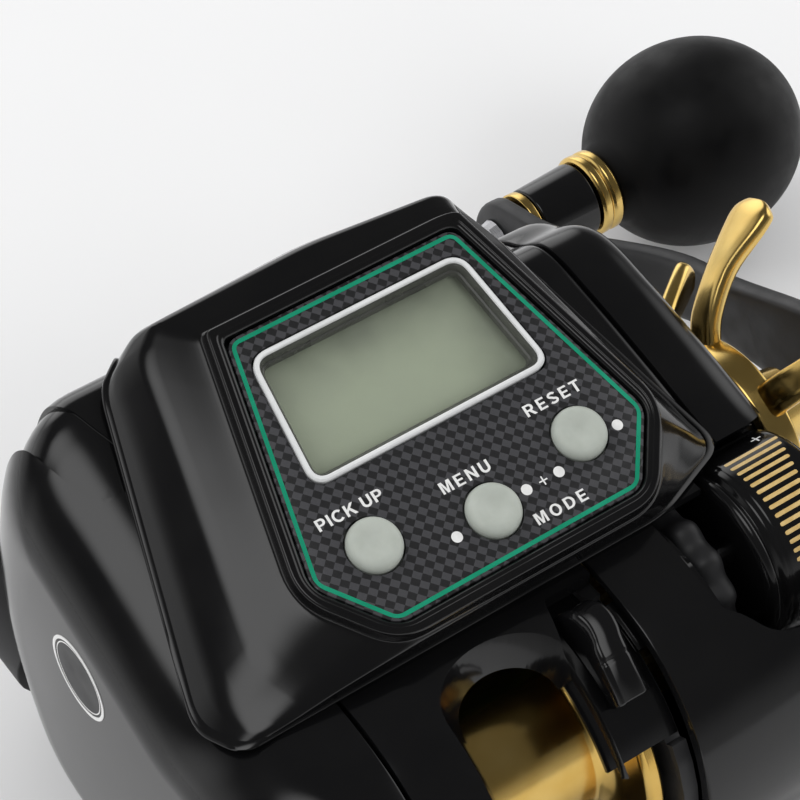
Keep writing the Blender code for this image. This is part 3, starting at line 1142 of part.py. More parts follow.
def make_handle():
    """Handle arm, its nut, and the knob with its spindle and gold rings."""
    along = Vector((0, math.cos(HANDLE_ANGLE), math.sin(HANDLE_ANGLE)))
    across = Vector((0, -math.sin(HANDLE_ANGLE), math.cos(HANDLE_ANGLE)))
    hub_half = HANDLE_HUB_WIDTH / 2
    end_half = HANDLE_END_WIDTH / 2
    neck_half = HANDLE_NECK_WIDTH / 2
    stations = []
    end_steps = 5
    for i in range(end_steps):
        turn = math.pi / 2 * (i + 0.35) / end_steps
        stations.append((-hub_half * math.cos(turn), hub_half * math.sin(turn)))
    for i in range(HANDLE_STATIONS):
        share = i / (HANDLE_STATIONS - 1)
        to_neck = min(share / 0.45, 1)
        half = hub_half + (neck_half - hub_half) * (3 - 2 * to_neck) * to_neck ** 2
        to_end = max((share - 0.7) / 0.3, 0)
        half = half + (end_half - neck_half) * (3 - 2 * to_end) * to_end ** 2
        stations.append((share * HANDLE_LENGTH, half))
    for i in reversed(range(end_steps)):
        turn = math.pi / 2 * (i + 0.35) / end_steps
        stations.append((HANDLE_LENGTH + end_half * math.cos(turn), end_half * math.sin(turn)))
    rings = []
    for distance, half in stations:
        sweep = min(max((distance / HANDLE_LENGTH - 0.45) / 0.45, 0), 1)
        x = HANDLE_HUB_X + (HANDLE_END_X - HANDLE_HUB_X) * (3 - 2 * sweep) * sweep ** 2
        middle = Vector((x, DRIVE_Y, DRIVE_Z)) + along * distance
        thick = Vector((HANDLE_THICKNESS / 2, 0, 0))
        edge = half * 0.8
        rings.append([middle + thick + across * edge, middle + thick * 0.5 + across * half,
                      middle - thick * 0.5 + across * half, middle - thick + across * edge,
                      middle - thick - across * edge, middle - thick * 0.5 - across * half,
                      middle + thick * 0.5 - across * half, middle + thick - across * edge])
    arm = loft("handle_arm", rings, gloss_black())
    put_origin(arm, DRIVE_Y, DRIVE_Z)
    knob_y = DRIVE_Y + along.y * HANDLE_LENGTH
    knob_z = DRIVE_Z + along.z * HANDLE_LENGTH
    for name, x, y, z, radius in (
            ("tool_arm_hub", HANDLE_HUB_X, DRIVE_Y, DRIVE_Z, DRIVE_SHAFT_RADIUS),
            ("tool_arm_end", HANDLE_END_X, knob_y, knob_z, KNOB_SPINDLE_RADIUS + GAP)):
        cut(arm, turned(name, [(x - HANDLE_THICKNESS, radius), (x + HANDLE_THICKNESS, radius)],
                        y, z, gloss_black(), SIDES_SMALL))

    nut_x = HANDLE_HUB_X + HANDLE_THICKNESS / 2 + GAP
    nut_end = nut_x + NUT_HEIGHT
    edge = GAP * 2
    turned("handle_nut", [(DRIVE_SHAFT_END_X + GAP, DRIVE_SHAFT_RADIUS), (nut_x, DRIVE_SHAFT_RADIUS),
                          (nut_x, NUT_RADIUS), (nut_end - edge, NUT_RADIUS),
                          (nut_end, NUT_RADIUS - edge)],
           DRIVE_Y, DRIVE_Z, gold(), 6)

    bore = KNOB_SPINDLE_RADIUS + GAP
    inner_face = HANDLE_END_X - HANDLE_THICKNESS / 2
    head = inner_face - GAP
    stem_x = HANDLE_END_X + HANDLE_THICKNESS / 2 + 2 * GAP + KNOB_WASHER_WIDTH
    ring_x = stem_x + KNOB_STEM_LENGTH + GAP
    ball_x = ring_x + KNOB_RING_WIDTH + GAP
    spindle_end = ball_x + KNOB_LENGTH / 2
    turned("knob_spindle", [(head - KNOB_WASHER_WIDTH, KNOB_SPINDLE_RADIUS * 1.4),
                            (head, KNOB_SPINDLE_RADIUS * 1.6), (head, KNOB_SPINDLE_RADIUS),
                            (spindle_end - GAP, KNOB_SPINDLE_RADIUS)],
           knob_y, knob_z, steel(), SIDES_SMALL)
    washer_x = HANDLE_END_X + HANDLE_THICKNESS / 2 + GAP
    turned("knob_washer", [(washer_x, bore), (washer_x, KNOB_WASHER_RADIUS),
                           (washer_x + KNOB_WASHER_WIDTH, KNOB_WASHER_RADIUS),
                           (washer_x + KNOB_WASHER_WIDTH, bore)],
           knob_y, knob_z, gold(), SIDES_ROUND, closed=True)
    stem_end = stem_x + KNOB_STEM_LENGTH
    turned("knob_stem", [(stem_x, bore), (stem_x, KNOB_STEM_RADIUS - GAP),
                         (stem_x + GAP, KNOB_STEM_RADIUS),
                         (stem_end - GAP, KNOB_STEM_RADIUS * 1.08),
                         (stem_end, KNOB_STEM_RADIUS), (stem_end, bore)],
           knob_y, knob_z, gloss_black(), SIDES_ROUND, closed=True)
    width = KNOB_RING_WIDTH
    groove = KNOB_RING_RADIUS * 0.93
    turned("knob_ring", [(ring_x, bore), (ring_x, groove), (ring_x + width * 0.1, KNOB_RING_RADIUS),
                         (ring_x + width * 0.4, KNOB_RING_RADIUS), (ring_x + width * 0.5, groove),
                         (ring_x + width * 0.6, KNOB_RING_RADIUS),
                         (ring_x + width * 0.9, KNOB_RING_RADIUS), (ring_x + width, groove),
                         (ring_x + width, bore)],
           knob_y, knob_z, gold(), SIDES_ROUND, closed=True)
    profile = [(spindle_end, bore), (ball_x, bore), (ball_x, KNOB_NECK_RADIUS)]
    half = KNOB_LENGTH / 2
    start = math.asin(KNOB_NECK_RADIUS / KNOB_RADIUS)
    steps = 12
    for i in range(1, steps):
        angle = start + (math.pi - start) * i / steps
        profile.append((ball_x + half - half * math.cos(angle), KNOB_RADIUS * math.sin(angle)))
    turned("handle_knob", profile, knob_y, knob_z, matte_black(), SIDES_ROUND)


def make_level_wind():
    """Worm shaft, guide rod and the carriage that lays the line."""
    inner = SPOOL_WIDTH / 2 + SPOOL_SIDE_GAP
    outer = inner + WALL_THICKNESS
    worm_end = WORM_GEAR_X + WORM_GEAR_WIDTH + GAP
    neck = WORM_RADIUS * 0.75
    profile = [(-outer, WORM_RADIUS), (-inner, WORM_RADIUS)]
    grooves = 9
    pitch = 2 * inner / grooves
    for i in range(grooves):
        x = -inner + (i + 0.5) * pitch
        profile += [(x - pitch * 0.3, WORM_RADIUS), (x, neck), (x + pitch * 0.3, WORM_RADIUS)]
    profile += [(outer, WORM_RADIUS), (outer + GAP, neck), (worm_end, neck)]
    turned("worm_shaft", profile, WORM_Y, WORM_Z, steel(), SIDES_SMALL)
    gear("worm_gear", 14, WORM_GEAR_RADIUS, neck + GAP, WORM_GEAR_X, WORM_GEAR_WIDTH,
         WORM_Y, WORM_Z, matte_black())
    turned("guide_rod", [(-outer, ROD_RADIUS), (outer, ROD_RADIUS)], ROD_Y, ROD_Z, steel(),
           SIDES_SMALL)

    half = GUIDE_WIDTH / 2
    low = WORM_Z - WORM_RADIUS - GAP - GUIDE_WALL
    rear = WORM_Y - WORM_RADIUS - GAP - GUIDE_WALL
    front = ROD_Y + ROD_RADIUS + GAP + GUIDE_WALL
    eye_y = (WORM_Y + ROD_Y) / 2
    back = eye_y - GUIDE_DEPTH / 2
    ahead = eye_y + GUIDE_DEPTH / 2
    shoulder = WORM_Z + WORM_RADIUS + GAP + GUIDE_WALL
    top = GUIDE_EYE_Z + GUIDE_EYE_RADIUS + GUIDE_WALL
    outline = [(rear, low), (front, low), (front, shoulder - GUIDE_WALL), (ahead, shoulder),
               (ahead, top), (back, top), (back, shoulder), (rear, shoulder - GUIDE_WALL)]
    guide = extrude_x("line_guide", outline, -half, half, gloss_black())
    put_origin(guide, eye_y, WORM_Z)
    for name, y, radius in (("tool_guide_worm", WORM_Y, WORM_RADIUS + GAP),
                            ("tool_guide_rod", ROD_Y, ROD_RADIUS + GAP)):
        cut(guide, turned(name, [(-half - OVERRUN, radius), (half + OVERRUN, radius)], y, WORM_Z,
                          gloss_black(), SIDES_SMALL))
    eye = turned("tool_eye", [(back - OVERRUN, GUIDE_EYE_RADIUS - GUIDE_WALL / 2 + GAP),
                              (ahead + OVERRUN, GUIDE_EYE_RADIUS - GUIDE_WALL / 2 + GAP)],
                 0, 0, gloss_black())
    cut(guide, face_along_y(eye, 0, GUIDE_EYE_Z))
    lip = GUIDE_WALL / 2
    seat = GUIDE_EYE_RADIUS - GUIDE_WALL / 2
    ring = turned("guide_ring", [(back - lip, GUIDE_EYE_HOLE + lip), (back - GAP, seat),
                                 (ahead + GAP, seat), (ahead + lip, GUIDE_EYE_HOLE + lip),
                                 (ahead, GUIDE_EYE_HOLE), (back, GUIDE_EYE_HOLE)],
                  0, 0, paint("pale_ceramic", (0.75, 0.74, 0.70, 1), 0.25), SIDES_ROUND,
                  closed=True)
    face_along_y(ring, 0, GUIDE_EYE_Z)


def make_socket():
    """Power socket with two pins at the front of the left cover."""
    cup_floor = SOCKET_FRONT_Y - SOCKET_CUP_DEPTH
    collar = SOCKET_FRONT_Y - SOCKET_COLLAR_WIDTH
    profile = [(cup_floor, SOCKET_CUP_RADIUS), (SOCKET_FRONT_Y, SOCKET_CUP_RADIUS),
               (SOCKET_FRONT_Y, SOCKET_COLLAR_RADIUS), (collar, SOCKET_COLLAR_RADIUS),
               (collar, SOCKET_RADIUS), (SOCKET_BACK_Y, SOCKET_RADIUS)]
    socket = turned("power_socket", profile, 0, 0, matte_black())
    face_along_y(socket, SOCKET_X, SOCKET_Z)
    for side, name in ((-1, "left"), (1, "right")):
        x = SOCKET_X + side * SOCKET_PIN_SPACING / 2
        hole = turned("tool_pin_hole_" + name,
                      [(SOCKET_BACK_Y - OVERRUN, SOCKET_PIN_RADIUS + GAP),
                       (cup_floor + GAP, SOCKET_PIN_RADIUS + GAP)], 0, 0, brass(), SIDES_SCREW)
        face_along_y(hole, x, SOCKET_Z)
        cut(socket, hole)
        end = cup_floor + SOCKET_PIN_LENGTH
        tip = SOCKET_PIN_RADIUS / 3
        pin = turned("socket_pin_" + name,
                     [(SOCKET_BACK_Y, SOCKET_PIN_RADIUS), (end - tip, SOCKET_PIN_RADIUS),
                      (end, SOCKET_PIN_RADIUS - tip)], 0, 0, brass(), SIDES_SCREW)
        face_along_y(pin, x, SOCKET_Z)


def build():
    """Clear the scene and make every piece of the reel."""
    for old in list(bpy.data.objects):
        bpy.data.objects.remove(old, do_unlink=True)
    make_frame()
    make_foot()
    make_nose_cover()
    right_outline = make_covers()
    make_head_housing()
    make_display()
    make_rear_guard()
    make_spool()
    make_motor()
    make_clutch_lever()
    make_dial(right_outline)
    make_drive()
    make_star_drag()
    make_handle()
    make_level_wind()
    make_socket()


build()
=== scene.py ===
import json
import math

import bmesh
import bpy
from mathutils import Matrix, Vector
from mathutils.bvhtree import BVHTree

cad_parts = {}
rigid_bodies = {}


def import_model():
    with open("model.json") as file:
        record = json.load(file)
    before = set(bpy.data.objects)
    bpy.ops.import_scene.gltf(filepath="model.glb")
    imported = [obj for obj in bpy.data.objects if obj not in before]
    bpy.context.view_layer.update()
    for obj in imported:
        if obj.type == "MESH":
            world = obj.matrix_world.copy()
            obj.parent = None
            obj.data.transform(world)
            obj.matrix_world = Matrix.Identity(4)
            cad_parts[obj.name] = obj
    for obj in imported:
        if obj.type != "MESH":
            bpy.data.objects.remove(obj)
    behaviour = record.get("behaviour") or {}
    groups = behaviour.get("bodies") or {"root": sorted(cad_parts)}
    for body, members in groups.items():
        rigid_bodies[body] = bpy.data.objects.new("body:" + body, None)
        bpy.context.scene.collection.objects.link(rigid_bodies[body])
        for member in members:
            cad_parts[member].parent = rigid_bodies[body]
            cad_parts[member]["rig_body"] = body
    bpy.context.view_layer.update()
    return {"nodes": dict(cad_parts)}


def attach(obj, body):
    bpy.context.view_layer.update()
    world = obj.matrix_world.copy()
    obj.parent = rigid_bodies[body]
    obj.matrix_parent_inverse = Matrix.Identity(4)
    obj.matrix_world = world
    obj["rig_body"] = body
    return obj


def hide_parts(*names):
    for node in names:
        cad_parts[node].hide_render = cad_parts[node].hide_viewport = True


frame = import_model()
mm = 0.001  # every length below is written in millimetres
print("frame loaded:", len(frame["nodes"]), "nodes")


# Materials: each one is a node tree in object coordinates

def addShade(tree, kind, sockets=None, **settings):
    made = tree.nodes.new("ShaderNode" + kind)
    for key, value in settings.items():
        setattr(made, key, value)
    for key, value in (sockets or {}).items():
        if isinstance(value, bpy.types.NodeSocket):
            tree.links.new(value, made.inputs[key])
        else:
            made.inputs[key].default_value = value
    return made


def startFinish(name):
    finish = bpy.data.materials.new(name)
    finish.use_nodes = True
    tree = finish.node_tree
    coords = addShade(tree, "TexCoord").outputs["Object"]
    return finish, tree, tree.nodes["Principled BSDF"], coords


def noiseAt(tree, coords, size, detail=3.0, roughness=0.55):
    # size is the width of one blotch in millimetres
    made = addShade(tree, "TexNoise", {"Vector": coords, "Scale": 1 / (size * mm),
                                       "Detail": detail, "Roughness": roughness})
    return made.outputs["Fac"]


def spread(tree, value, low, high, fromLow=0.3, fromHigh=0.7, kind="LINEAR"):
    sockets = {"Value": value, "From Min": fromLow, "From Max": fromHigh, "To Min": low,
               "To Max": high}
    return addShade(tree, "MapRange", sockets, interpolation_type=kind).outputs["Result"]


def combine(tree, operation, first, second):
    return addShade(tree, "Math", {0: first, 1: second}, operation=operation).outputs[0]


def twoTone(tree, value, first, second):
    ramp = addShade(tree, "ValToRGB", {"Fac": value})
    ramp.color_ramp.elements[0].position = 0.3
    ramp.color_ramp.elements[0].color = (*first, 1)
    ramp.color_ramp.elements[1].position = 0.7
    ramp.color_ramp.elements[1].color = (*second, 1)
    return ramp.outputs["Color"]


def addBump(tree, shader, height, depth, strength=0.5, before=None):
    sockets = {"Height": height, "Distance": depth * mm, "Strength": strength}
    if before:
        sockets["Normal"] = before
    made = addShade(tree, "Bump", sockets)
    tree.links.new(made.outputs["Normal"], shader.inputs["Normal"])
    return made.outputs["Normal"]


def mouldedPlastic(name, look):
    finish, tree, shader, coords = startFinish(name)
    blotch = noiseAt(tree, coords, look["blotch"])
    grain = noiseAt(tree, coords, look["grain"], 2.0)
    tree.links.new(twoTone(tree, blotch, look["dark"], look["light"]), shader.inputs["Base Color"])
    tree.links.new(spread(tree, blotch, *look["rough"]), shader.inputs["Roughness"])
    waves = noiseAt(tree, coords, look["wave"], 1.0)
    first = addBump(tree, shader, waves, look["waveDepth"])
    addBump(tree, shader, grain, look["grainDepth"], before=first)
    shader.inputs["IOR"].default_value = look.get("ior", 1.5)
    shader.inputs["Coat Weight"].default_value = look.get("coat", 0.0)
    shader.inputs["Coat Roughness"].default_value = 0.04
    shader.inputs["Subsurface Weight"].default_value = look.get("soft", 0.0)
    shader.inputs["Subsurface Radius"].default_value = (1.0 * mm, 0.9 * mm, 0.7 * mm)
    return finish


def turnedMetal(name, look, axisY, axisZ):
    # fine lathe lines round a line along X, plus a slow change of tone
    finish, tree, shader, coords = startFinish(name)
    parts = addShade(tree, "SeparateXYZ", {"Vector": coords})
    square = combine(tree, "ADD", *(combine(tree, "POWER",
                                            combine(tree, "SUBTRACT", parts.outputs[key], middle * mm),
                                            2.0) for key, middle in (("Y", axisY), ("Z", axisZ))))
    along = combine(tree, "ADD", parts.outputs["X"], combine(tree, "POWER", square, 0.5))
    lines = addShade(tree, "TexNoise", {"W": along, "Scale": 1 / (look["line"] * mm),
                                        "Detail": 3.0}, noise_dimensions="1D")
    blotch = noiseAt(tree, coords, look["blotch"])
    tree.links.new(twoTone(tree, blotch, look["dark"], look["light"]), shader.inputs["Base Color"])
    mixed = combine(tree, "MULTIPLY", lines.outputs["Fac"], blotch)
    tree.links.new(spread(tree, mixed, *look["rough"], 0.1, 0.5), shader.inputs["Roughness"])
    addBump(tree, shader, lines.outputs["Fac"], look["lineDepth"], 0.35)
    shader.inputs["Metallic"].default_value = 1.0
    return finish


plasticLooks = {
    "glossBlack": dict(dark=(0.0036, 0.0036, 0.0040), light=(0.0054, 0.0053, 0.0055), blotch=14,
                       rough=(0.10, 0.17), wave=9, waveDepth=0.010, grain=0.35, grainDepth=0.0012,
                       coat=0.04),
    "satinBlack": dict(dark=(0.010, 0.010, 0.011), light=(0.016, 0.016, 0.017), blotch=6,
                       rough=(0.42, 0.55), wave=3, waveDepth=0.01, grain=0.18, grainDepth=0.006),
    "castBlack": dict(dark=(0.012, 0.012, 0.013), light=(0.022, 0.022, 0.023), blotch=4,
                      rough=(0.38, 0.58), wave=1.6, waveDepth=0.03, grain=0.30, grainDepth=0.02),
    "softTouch": dict(dark=(0.0022, 0.0022, 0.0024), light=(0.0040, 0.0040, 0.0042), blotch=5,
                      rough=(0.42, 0.58), wave=2.0, waveDepth=0.02, grain=0.22, grainDepth=0.014,
                      ior=1.28),
    "buttonRubber": dict(dark=(0.40, 0.43, 0.385), light=(0.455, 0.485, 0.44), blotch=3.5,
                         rough=(0.36, 0.47), wave=2.2, waveDepth=0.010, grain=0.12,
                         grainDepth=0.0025, soft=0.10),
    "whiteInk": dict(dark=(0.74, 0.74, 0.73), light=(0.82, 0.82, 0.81), blotch=1.2,
                     rough=(0.42, 0.55), wave=0.6, waveDepth=0.004, grain=0.10, grainDepth=0.002),
    "goldInk": dict(dark=(0.56, 0.37, 0.12), light=(0.72, 0.52, 0.22), blotch=1.5,
                    rough=(0.25, 0.38), wave=0.8, waveDepth=0.004, grain=0.10,
                    grainDepth=0.002, coat=0.3),
    "whiteEnamel": dict(dark=(0.70, 0.71, 0.71), light=(0.78, 0.79, 0.79), blotch=5,
                        rough=(0.22, 0.32), wave=3, waveDepth=0.006, grain=0.15,
                        grainDepth=0.0015, coat=0.3),
    "greenEnamel": dict(dark=(0.003, 0.235, 0.125), light=(0.006, 0.31, 0.175), blotch=7,
                        rough=(0.22, 0.32), wave=2, waveDepth=0.004, grain=0.12,
                        grainDepth=0.0012, coat=0.4),
    "recessGrey": dict(dark=(0.050, 0.052, 0.046), light=(0.085, 0.088, 0.078), blotch=8,
                       rough=(0.25, 0.35), wave=3, waveDepth=0.006, grain=0.2, grainDepth=0.002),
    "paleCeramic": dict(dark=(0.60, 0.585, 0.54), light=(0.70, 0.69, 0.65), blotch=2,
                        rough=(0.12, 0.2), wave=1, waveDepth=0.003, grain=0.1,
                        grainDepth=0.001, coat=0.5),
    "boardGreen": dict(dark=(0.012, 0.085, 0.035), light=(0.022, 0.13, 0.055), blotch=1.2,
                       rough=(0.35, 0.5), wave=0.8, waveDepth=0.02, grain=0.2, grainDepth=0.005),
}
metalLooks = {
    "gold": dict(dark=(0.70, 0.45, 0.115), light=(0.86, 0.62, 0.22), blotch=11,
                 rough=(0.15, 0.27), line=0.10, lineDepth=0.0016),
    "steel": dict(dark=(0.45, 0.45, 0.47), light=(0.60, 0.60, 0.62), blotch=8,
                  rough=(0.22, 0.38), line=0.09, lineDepth=0.003),
    "brass": dict(dark=(0.50, 0.36, 0.14), light=(0.64, 0.49, 0.22), blotch=6,
                  rough=(0.28, 0.42), line=0.12, lineDepth=0.003),
    "castGrey": dict(dark=(0.30, 0.30, 0.31), light=(0.42, 0.42, 0.43), blotch=5,
                     rough=(0.30, 0.45), line=0.25, lineDepth=0.003),
}
finishes = {name: mouldedPlastic(name, look) for name, look in plasticLooks.items()}

# Where the main shafts lie, as (y, z), and which shafts' pieces each metal is for
axes = {"spool": (-12.0, 35.0), "drive": (10.5, 42.8), "dial": (-11.0, 49.3),
        "knob": (82.354, 20.282), "motor": (29.0, 23.0), "idler": (12.661, 25.301),
        "worm": (25.5, 43.0), "rod": (34.0, 43.0)}
metalUses = {"gold": ["spool", "drive", "knob"], "castGrey": ["rod"],
             "steel": ["spool", "motor", "idler", "drive", "knob", "dial", "worm", "rod"],
             "brass": ["spool", "motor", "idler", "drive", "rod"]}
for metal, shafts in metalUses.items():
    for shaft in shafts:
        name = metal + shaft.capitalize()
        finishes[name] = turnedMetal(name, metalLooks[metal], *axes[shaft])


# The display panel's own frame: u to the right, v up the panel, n out of it
panel = {"centre": (11.0, 14.0, 78.0), "tilt": 20.6}
panelTurn = Matrix.Rotation(math.radians(panel["tilt"]), 4, "X")
panelPlace = Matrix.Translation(Vector(panel["centre"])) @ panelTurn


def onPanel(u, v, n=0.0):
    return panelPlace @ Vector((u, v, n))


def onPlate(tree, coords, spin=0.0):
    # coordinates in the panel's own frame, turned by spin
    turn = (-math.radians(panel["tilt"]), 0, math.radians(spin))
    back = Matrix.Rotation(turn[2], 3, "Z") @ Matrix.Rotation(turn[0], 3, "X")
    shift = -(back @ Vector(panel["centre"])) * mm
    return addShade(tree, "Mapping", {"Vector": coords, "Rotation": turn,
                                      "Location": shift}).outputs[0]


def mixColours(tree, factor, first, second, blend="MIX"):
    made = addShade(tree, "Mix", {"Factor": factor}, data_type="RGBA", blend_type=blend)
    for socket, value in zip([s for s in made.inputs if s.type == "RGBA"], (first, second)):
        if isinstance(value, bpy.types.NodeSocket):
            tree.links.new(value, socket)
        else:
            socket.default_value = (*value, 1)
    return [s for s in made.outputs if s.type == "RGBA"][0]


def wovenPlate(look):
    # slanted checks of two dark greys with slightly uneven edges, fine threads and specks
    finish, tree, shader, coords = startFinish("wovenPlate")
    flat = onPlate(tree, coords, look["turn"])
    wobble = addShade(tree, "TexNoise", {"Vector": flat, "Scale": 1 / (0.5 * mm)})
    nudge = addShade(tree, "VectorMath", {0: wobble.outputs["Color"], 1: (0.5, 0.5, 0.5)},
                     operation="SUBTRACT")
    small = addShade(tree, "VectorMath", {0: nudge.outputs[0], "Scale": look["wobble"] * mm},
                     operation="SCALE")
    moved = addShade(tree, "VectorMath", {0: flat, 1: small.outputs[0]})
    cell = addShade(tree, "Mapping", {"Vector": moved.outputs[0], "Scale":
                                      (1 / (look["cell"][0] * mm), 1 / (look["cell"][1] * mm), 0)})
    checks = addShade(tree, "TexChecker", {"Vector": cell.outputs[0], "Scale": 1.0,
                                           "Color1": (1, 1, 1, 1), "Color2": (0, 0, 0, 1)})
    thread = addShade(tree, "TexWave", {"Vector": flat, "Scale": 1 / (0.9 * mm),
                                        "Distortion": 1.5, "Detail": 1.0})
    speck = noiseAt(tree, flat, 0.25, 2.0)
    tone = mixColours(tree, checks.outputs["Fac"], look["dark"], look["grey"])
    tone = mixColours(tree, look["speck"], tone,
                      twoTone(tree, speck, (0.5, 0.5, 0.5), (1, 1, 1)), "MULTIPLY")
    tree.links.new(tone, shader.inputs["Base Color"])
    tree.links.new(spread(tree, checks.outputs["Fac"], *look["rough"], 0, 1),
                   shader.inputs["Roughness"])
    first = addBump(tree, shader, checks.outputs["Fac"], 0.010, 0.4)
    addBump(tree, shader, thread.outputs["Fac"], 0.006, 0.3, before=first)
    return finish


finishes["wovenPlate"] = wovenPlate(dict(turn=46.2, cell=(1.30, 1.03), wobble=0.10, speck=0.22,
                                         dark=(0.0135, 0.0135, 0.0145), grey=(0.058, 0.058, 0.063),
                                         rough=(0.40, 0.32)))


def crystalPanel(look):
    # grey-green liquid crystal with painted shade from the window's rim: darker towards its upper and
    # right edges
    finish, tree, shader, coords = startFinish("crystalPanel")
    flat = onPlate(tree, coords)
    parts = addShade(tree, "SeparateXYZ", {"Vector": flat})
    # painted shade masks: they rise towards the crystal's upper and right edges
    top, right = (spread(tree, parts.outputs[key], 0, 1, *[edge * mm for edge in look[key]],
                         "SMOOTHSTEP") for key in ("Y", "X"))
    cloud = noiseAt(tree, flat, 9, 2.0)
    shade = addShade(tree, "Math", {0: combine(tree, "MAXIMUM", top, right), 1: cloud},
                     operation="MULTIPLY_ADD")
    shade.inputs[2].default_value = 0.12
    # the ramp's dark end is the painted shade colour
    ramp = addShade(tree, "ValToRGB", {"Fac": shade.outputs[0]})
    ramp.color_ramp.elements[0].color = (*look["light"], 1)
    ramp.color_ramp.elements[1].color = (*look["dark"], 1)
    tree.links.new(ramp.outputs["Color"], shader.inputs["Base Color"])
    grid = addShade(tree, "TexChecker", {"Vector": flat, "Scale": 1 / (0.35 * mm)})
    tree.links.new(spread(tree, noiseAt(tree, flat, 1.5), 0.16, 0.24), shader.inputs["Roughness"])
    addBump(tree, shader, grid.outputs["Fac"], 0.0008, 0.2)
    return finish


# painted shade: dark is the painted shade colour; Y and X give where the painted shade begins and where
# it is full, in millimetres
finishes["crystalPanel"] = crystalPanel(dict(light=(0.385, 0.435, 0.320), dark=(0.150, 0.170, 0.128),
                                             Y=(8, 19), X=(8, 18)))


def clearPane(look):
    finish, tree, shader, coords = startFinish("clearPane")
    smear = noiseAt(tree, coords, 7)
    tree.links.new(spread(tree, smear, *look["rough"]), shader.inputs["Roughness"])
    tree.links.new(twoTone(tree, smear, look["dark"], look["light"]), shader.inputs["Base Color"])
    tree.links.new(spread(tree, smear, *look["alpha"]), shader.inputs["Alpha"])
    addBump(tree, shader, noiseAt(tree, coords, 12, 1.0), 0.004, 0.3)
    return finish


finishes["clearPane"] = clearPane(dict(rough=(0.03, 0.07), alpha=(0.05, 0.08),
                                       dark=(0.30, 0.32, 0.28), light=(0.36, 0.38, 0.34)))
print("materials made:", len(finishes))


# Mesh helpers. Points are in millimetres until a piece is finished.

def meshObject(name, mesh):
    made = bpy.data.objects.new(name, mesh)
    bpy.context.scene.collection.objects.link(made)
    return made


def workToPiece(name, work):
    mesh = bpy.data.meshes.new(name)
    work.to_mesh(mesh)
    work.free()
    return meshObject(name, mesh)


def rowsToMesh(name, rows, closed=False):
    # skin a row of points to the next; the ends are capped or joined
    work = bmesh.new()
    grid = [[work.verts.new(point) for point in row] for row in rows]
    pairs = list(zip(grid, grid[1:]))
    if closed:
        pairs.append((grid[-1], grid[0]))
    for low, high in pairs:
        count = len(low)
        for i in range(count):
            j = (i + 1) % count
            work.faces.new((low[i], low[j], high[j], high[i]))
    if not closed:
        for row in (grid[0], grid[-1]):
            work.faces.new(row)
    bmesh.ops.recalc_face_normals(work, faces=work.faces)
    return workToPiece(name, work)


def cadCopy(name, node):
    # a CAD node's mesh as a new piece, in millimetres
    mesh = frame["nodes"][node].data.copy()
    mesh.transform(Matrix.Scale(1 / mm, 4))
    return meshObject(name, mesh)


def settle(piece):
    # bake the modifiers into the mesh
    graph = bpy.context.evaluated_depsgraph_get()
    mesh = bpy.data.meshes.new_from_object(piece.evaluated_get(graph))
    piece.modifiers.clear()
    piece.data = mesh


def cutAway(piece, tool, operation="DIFFERENCE"):
    step = piece.modifiers.new("cut", "BOOLEAN")
    step.operation = operation
    step.solver = "EXACT"
    step.object = tool
    settle(piece)
    bpy.data.objects.remove(tool, do_unlink=True)


def cleanMesh(piece, gap, flat=None):
    # weld points closer than gap; with flat, also join faces that bend less than it
    work = bmesh.new()
    work.from_mesh(piece.data)
    bmesh.ops.remove_doubles(work, verts=work.verts, dist=gap)
    if flat:
        bmesh.ops.dissolve_limit(work, angle_limit=math.radians(flat), verts=work.verts,
                                 edges=work.edges)
    work.to_mesh(piece.data)
    work.free()


def roundEdges(piece, width, segments=3, angle=32):
    cleanMesh(piece, 0.001, 0.6)
    step = piece.modifiers.new("round", "BEVEL")
    step.width = width
    step.segments = segments
    step.limit_method = "ANGLE"
    step.angle_limit = math.radians(angle)
    step.use_clamp_overlap = True
    step.miter_outer = "MITER_ARC"
    settle(piece)


slots = {"glossBlack": "gloss_black", "satinBlack": "matte_black", "castBlack": "cast_black",
         "whiteInk": "matte_black", "greenEnamel": "matte_black", "recessGrey": "matte_black",
         "wovenPlate": "matte_black", "whiteEnamel": "white_enamel", "clearPane": "clear_window",
         "crystalPanel": "lcd_glass", "buttonRubber": "pale_rubber", "softTouch": "knob_black",
         "paleCeramic": "pale_ceramic", "castGreyRod": "bright_steel"}


def finishPiece(piece, finish="glossBlack", *replaced, body="reel_body", smooth=38, slot=None):
    # from millimetres to metres, then shading, finish, what it rides on and what it replaces
    slot = slot or slots.get(finish, "gold_anodised")
    piece.data.transform(Matrix.Scale(mm, 4))
    piece.data.materials.clear()
    piece.data.materials.append(finishes[finish])
    piece.data.shade_smooth()
    piece.data.set_sharp_from_angle(angle=math.radians(smooth))
    piece.data.update()
    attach(piece, body)
    if replaced:
        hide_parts(*replaced)


def roundAxis(axis, x, radius, turn):
    # a point beside a shaft, or a (y, z) line; the turn is in radians
    y, z = axes[axis] if isinstance(axis, str) else axis
    return Vector((x, y + radius * math.cos(turn), z + radius * math.sin(turn)))


def circleRow(x, radius, axis, sides):
    step = 2 * math.pi / sides
    return [roundAxis(axis, x, radius, i * step) for i in range(sides)]


def cornerPoint(start, corner, end, t):
    return start * (1 - t) ** 2 + corner * 2 * t * (1 - t) + end * t ** 2


def splinePoint(a, b, c, d, t):
    # between b and c
    bend = 2 * b + (c - a) * t + (2 * a - 5 * b + 4 * c - d) * t * t
    return (bend + (3 * b - a - 3 * c + d) * t ** 3) / 2


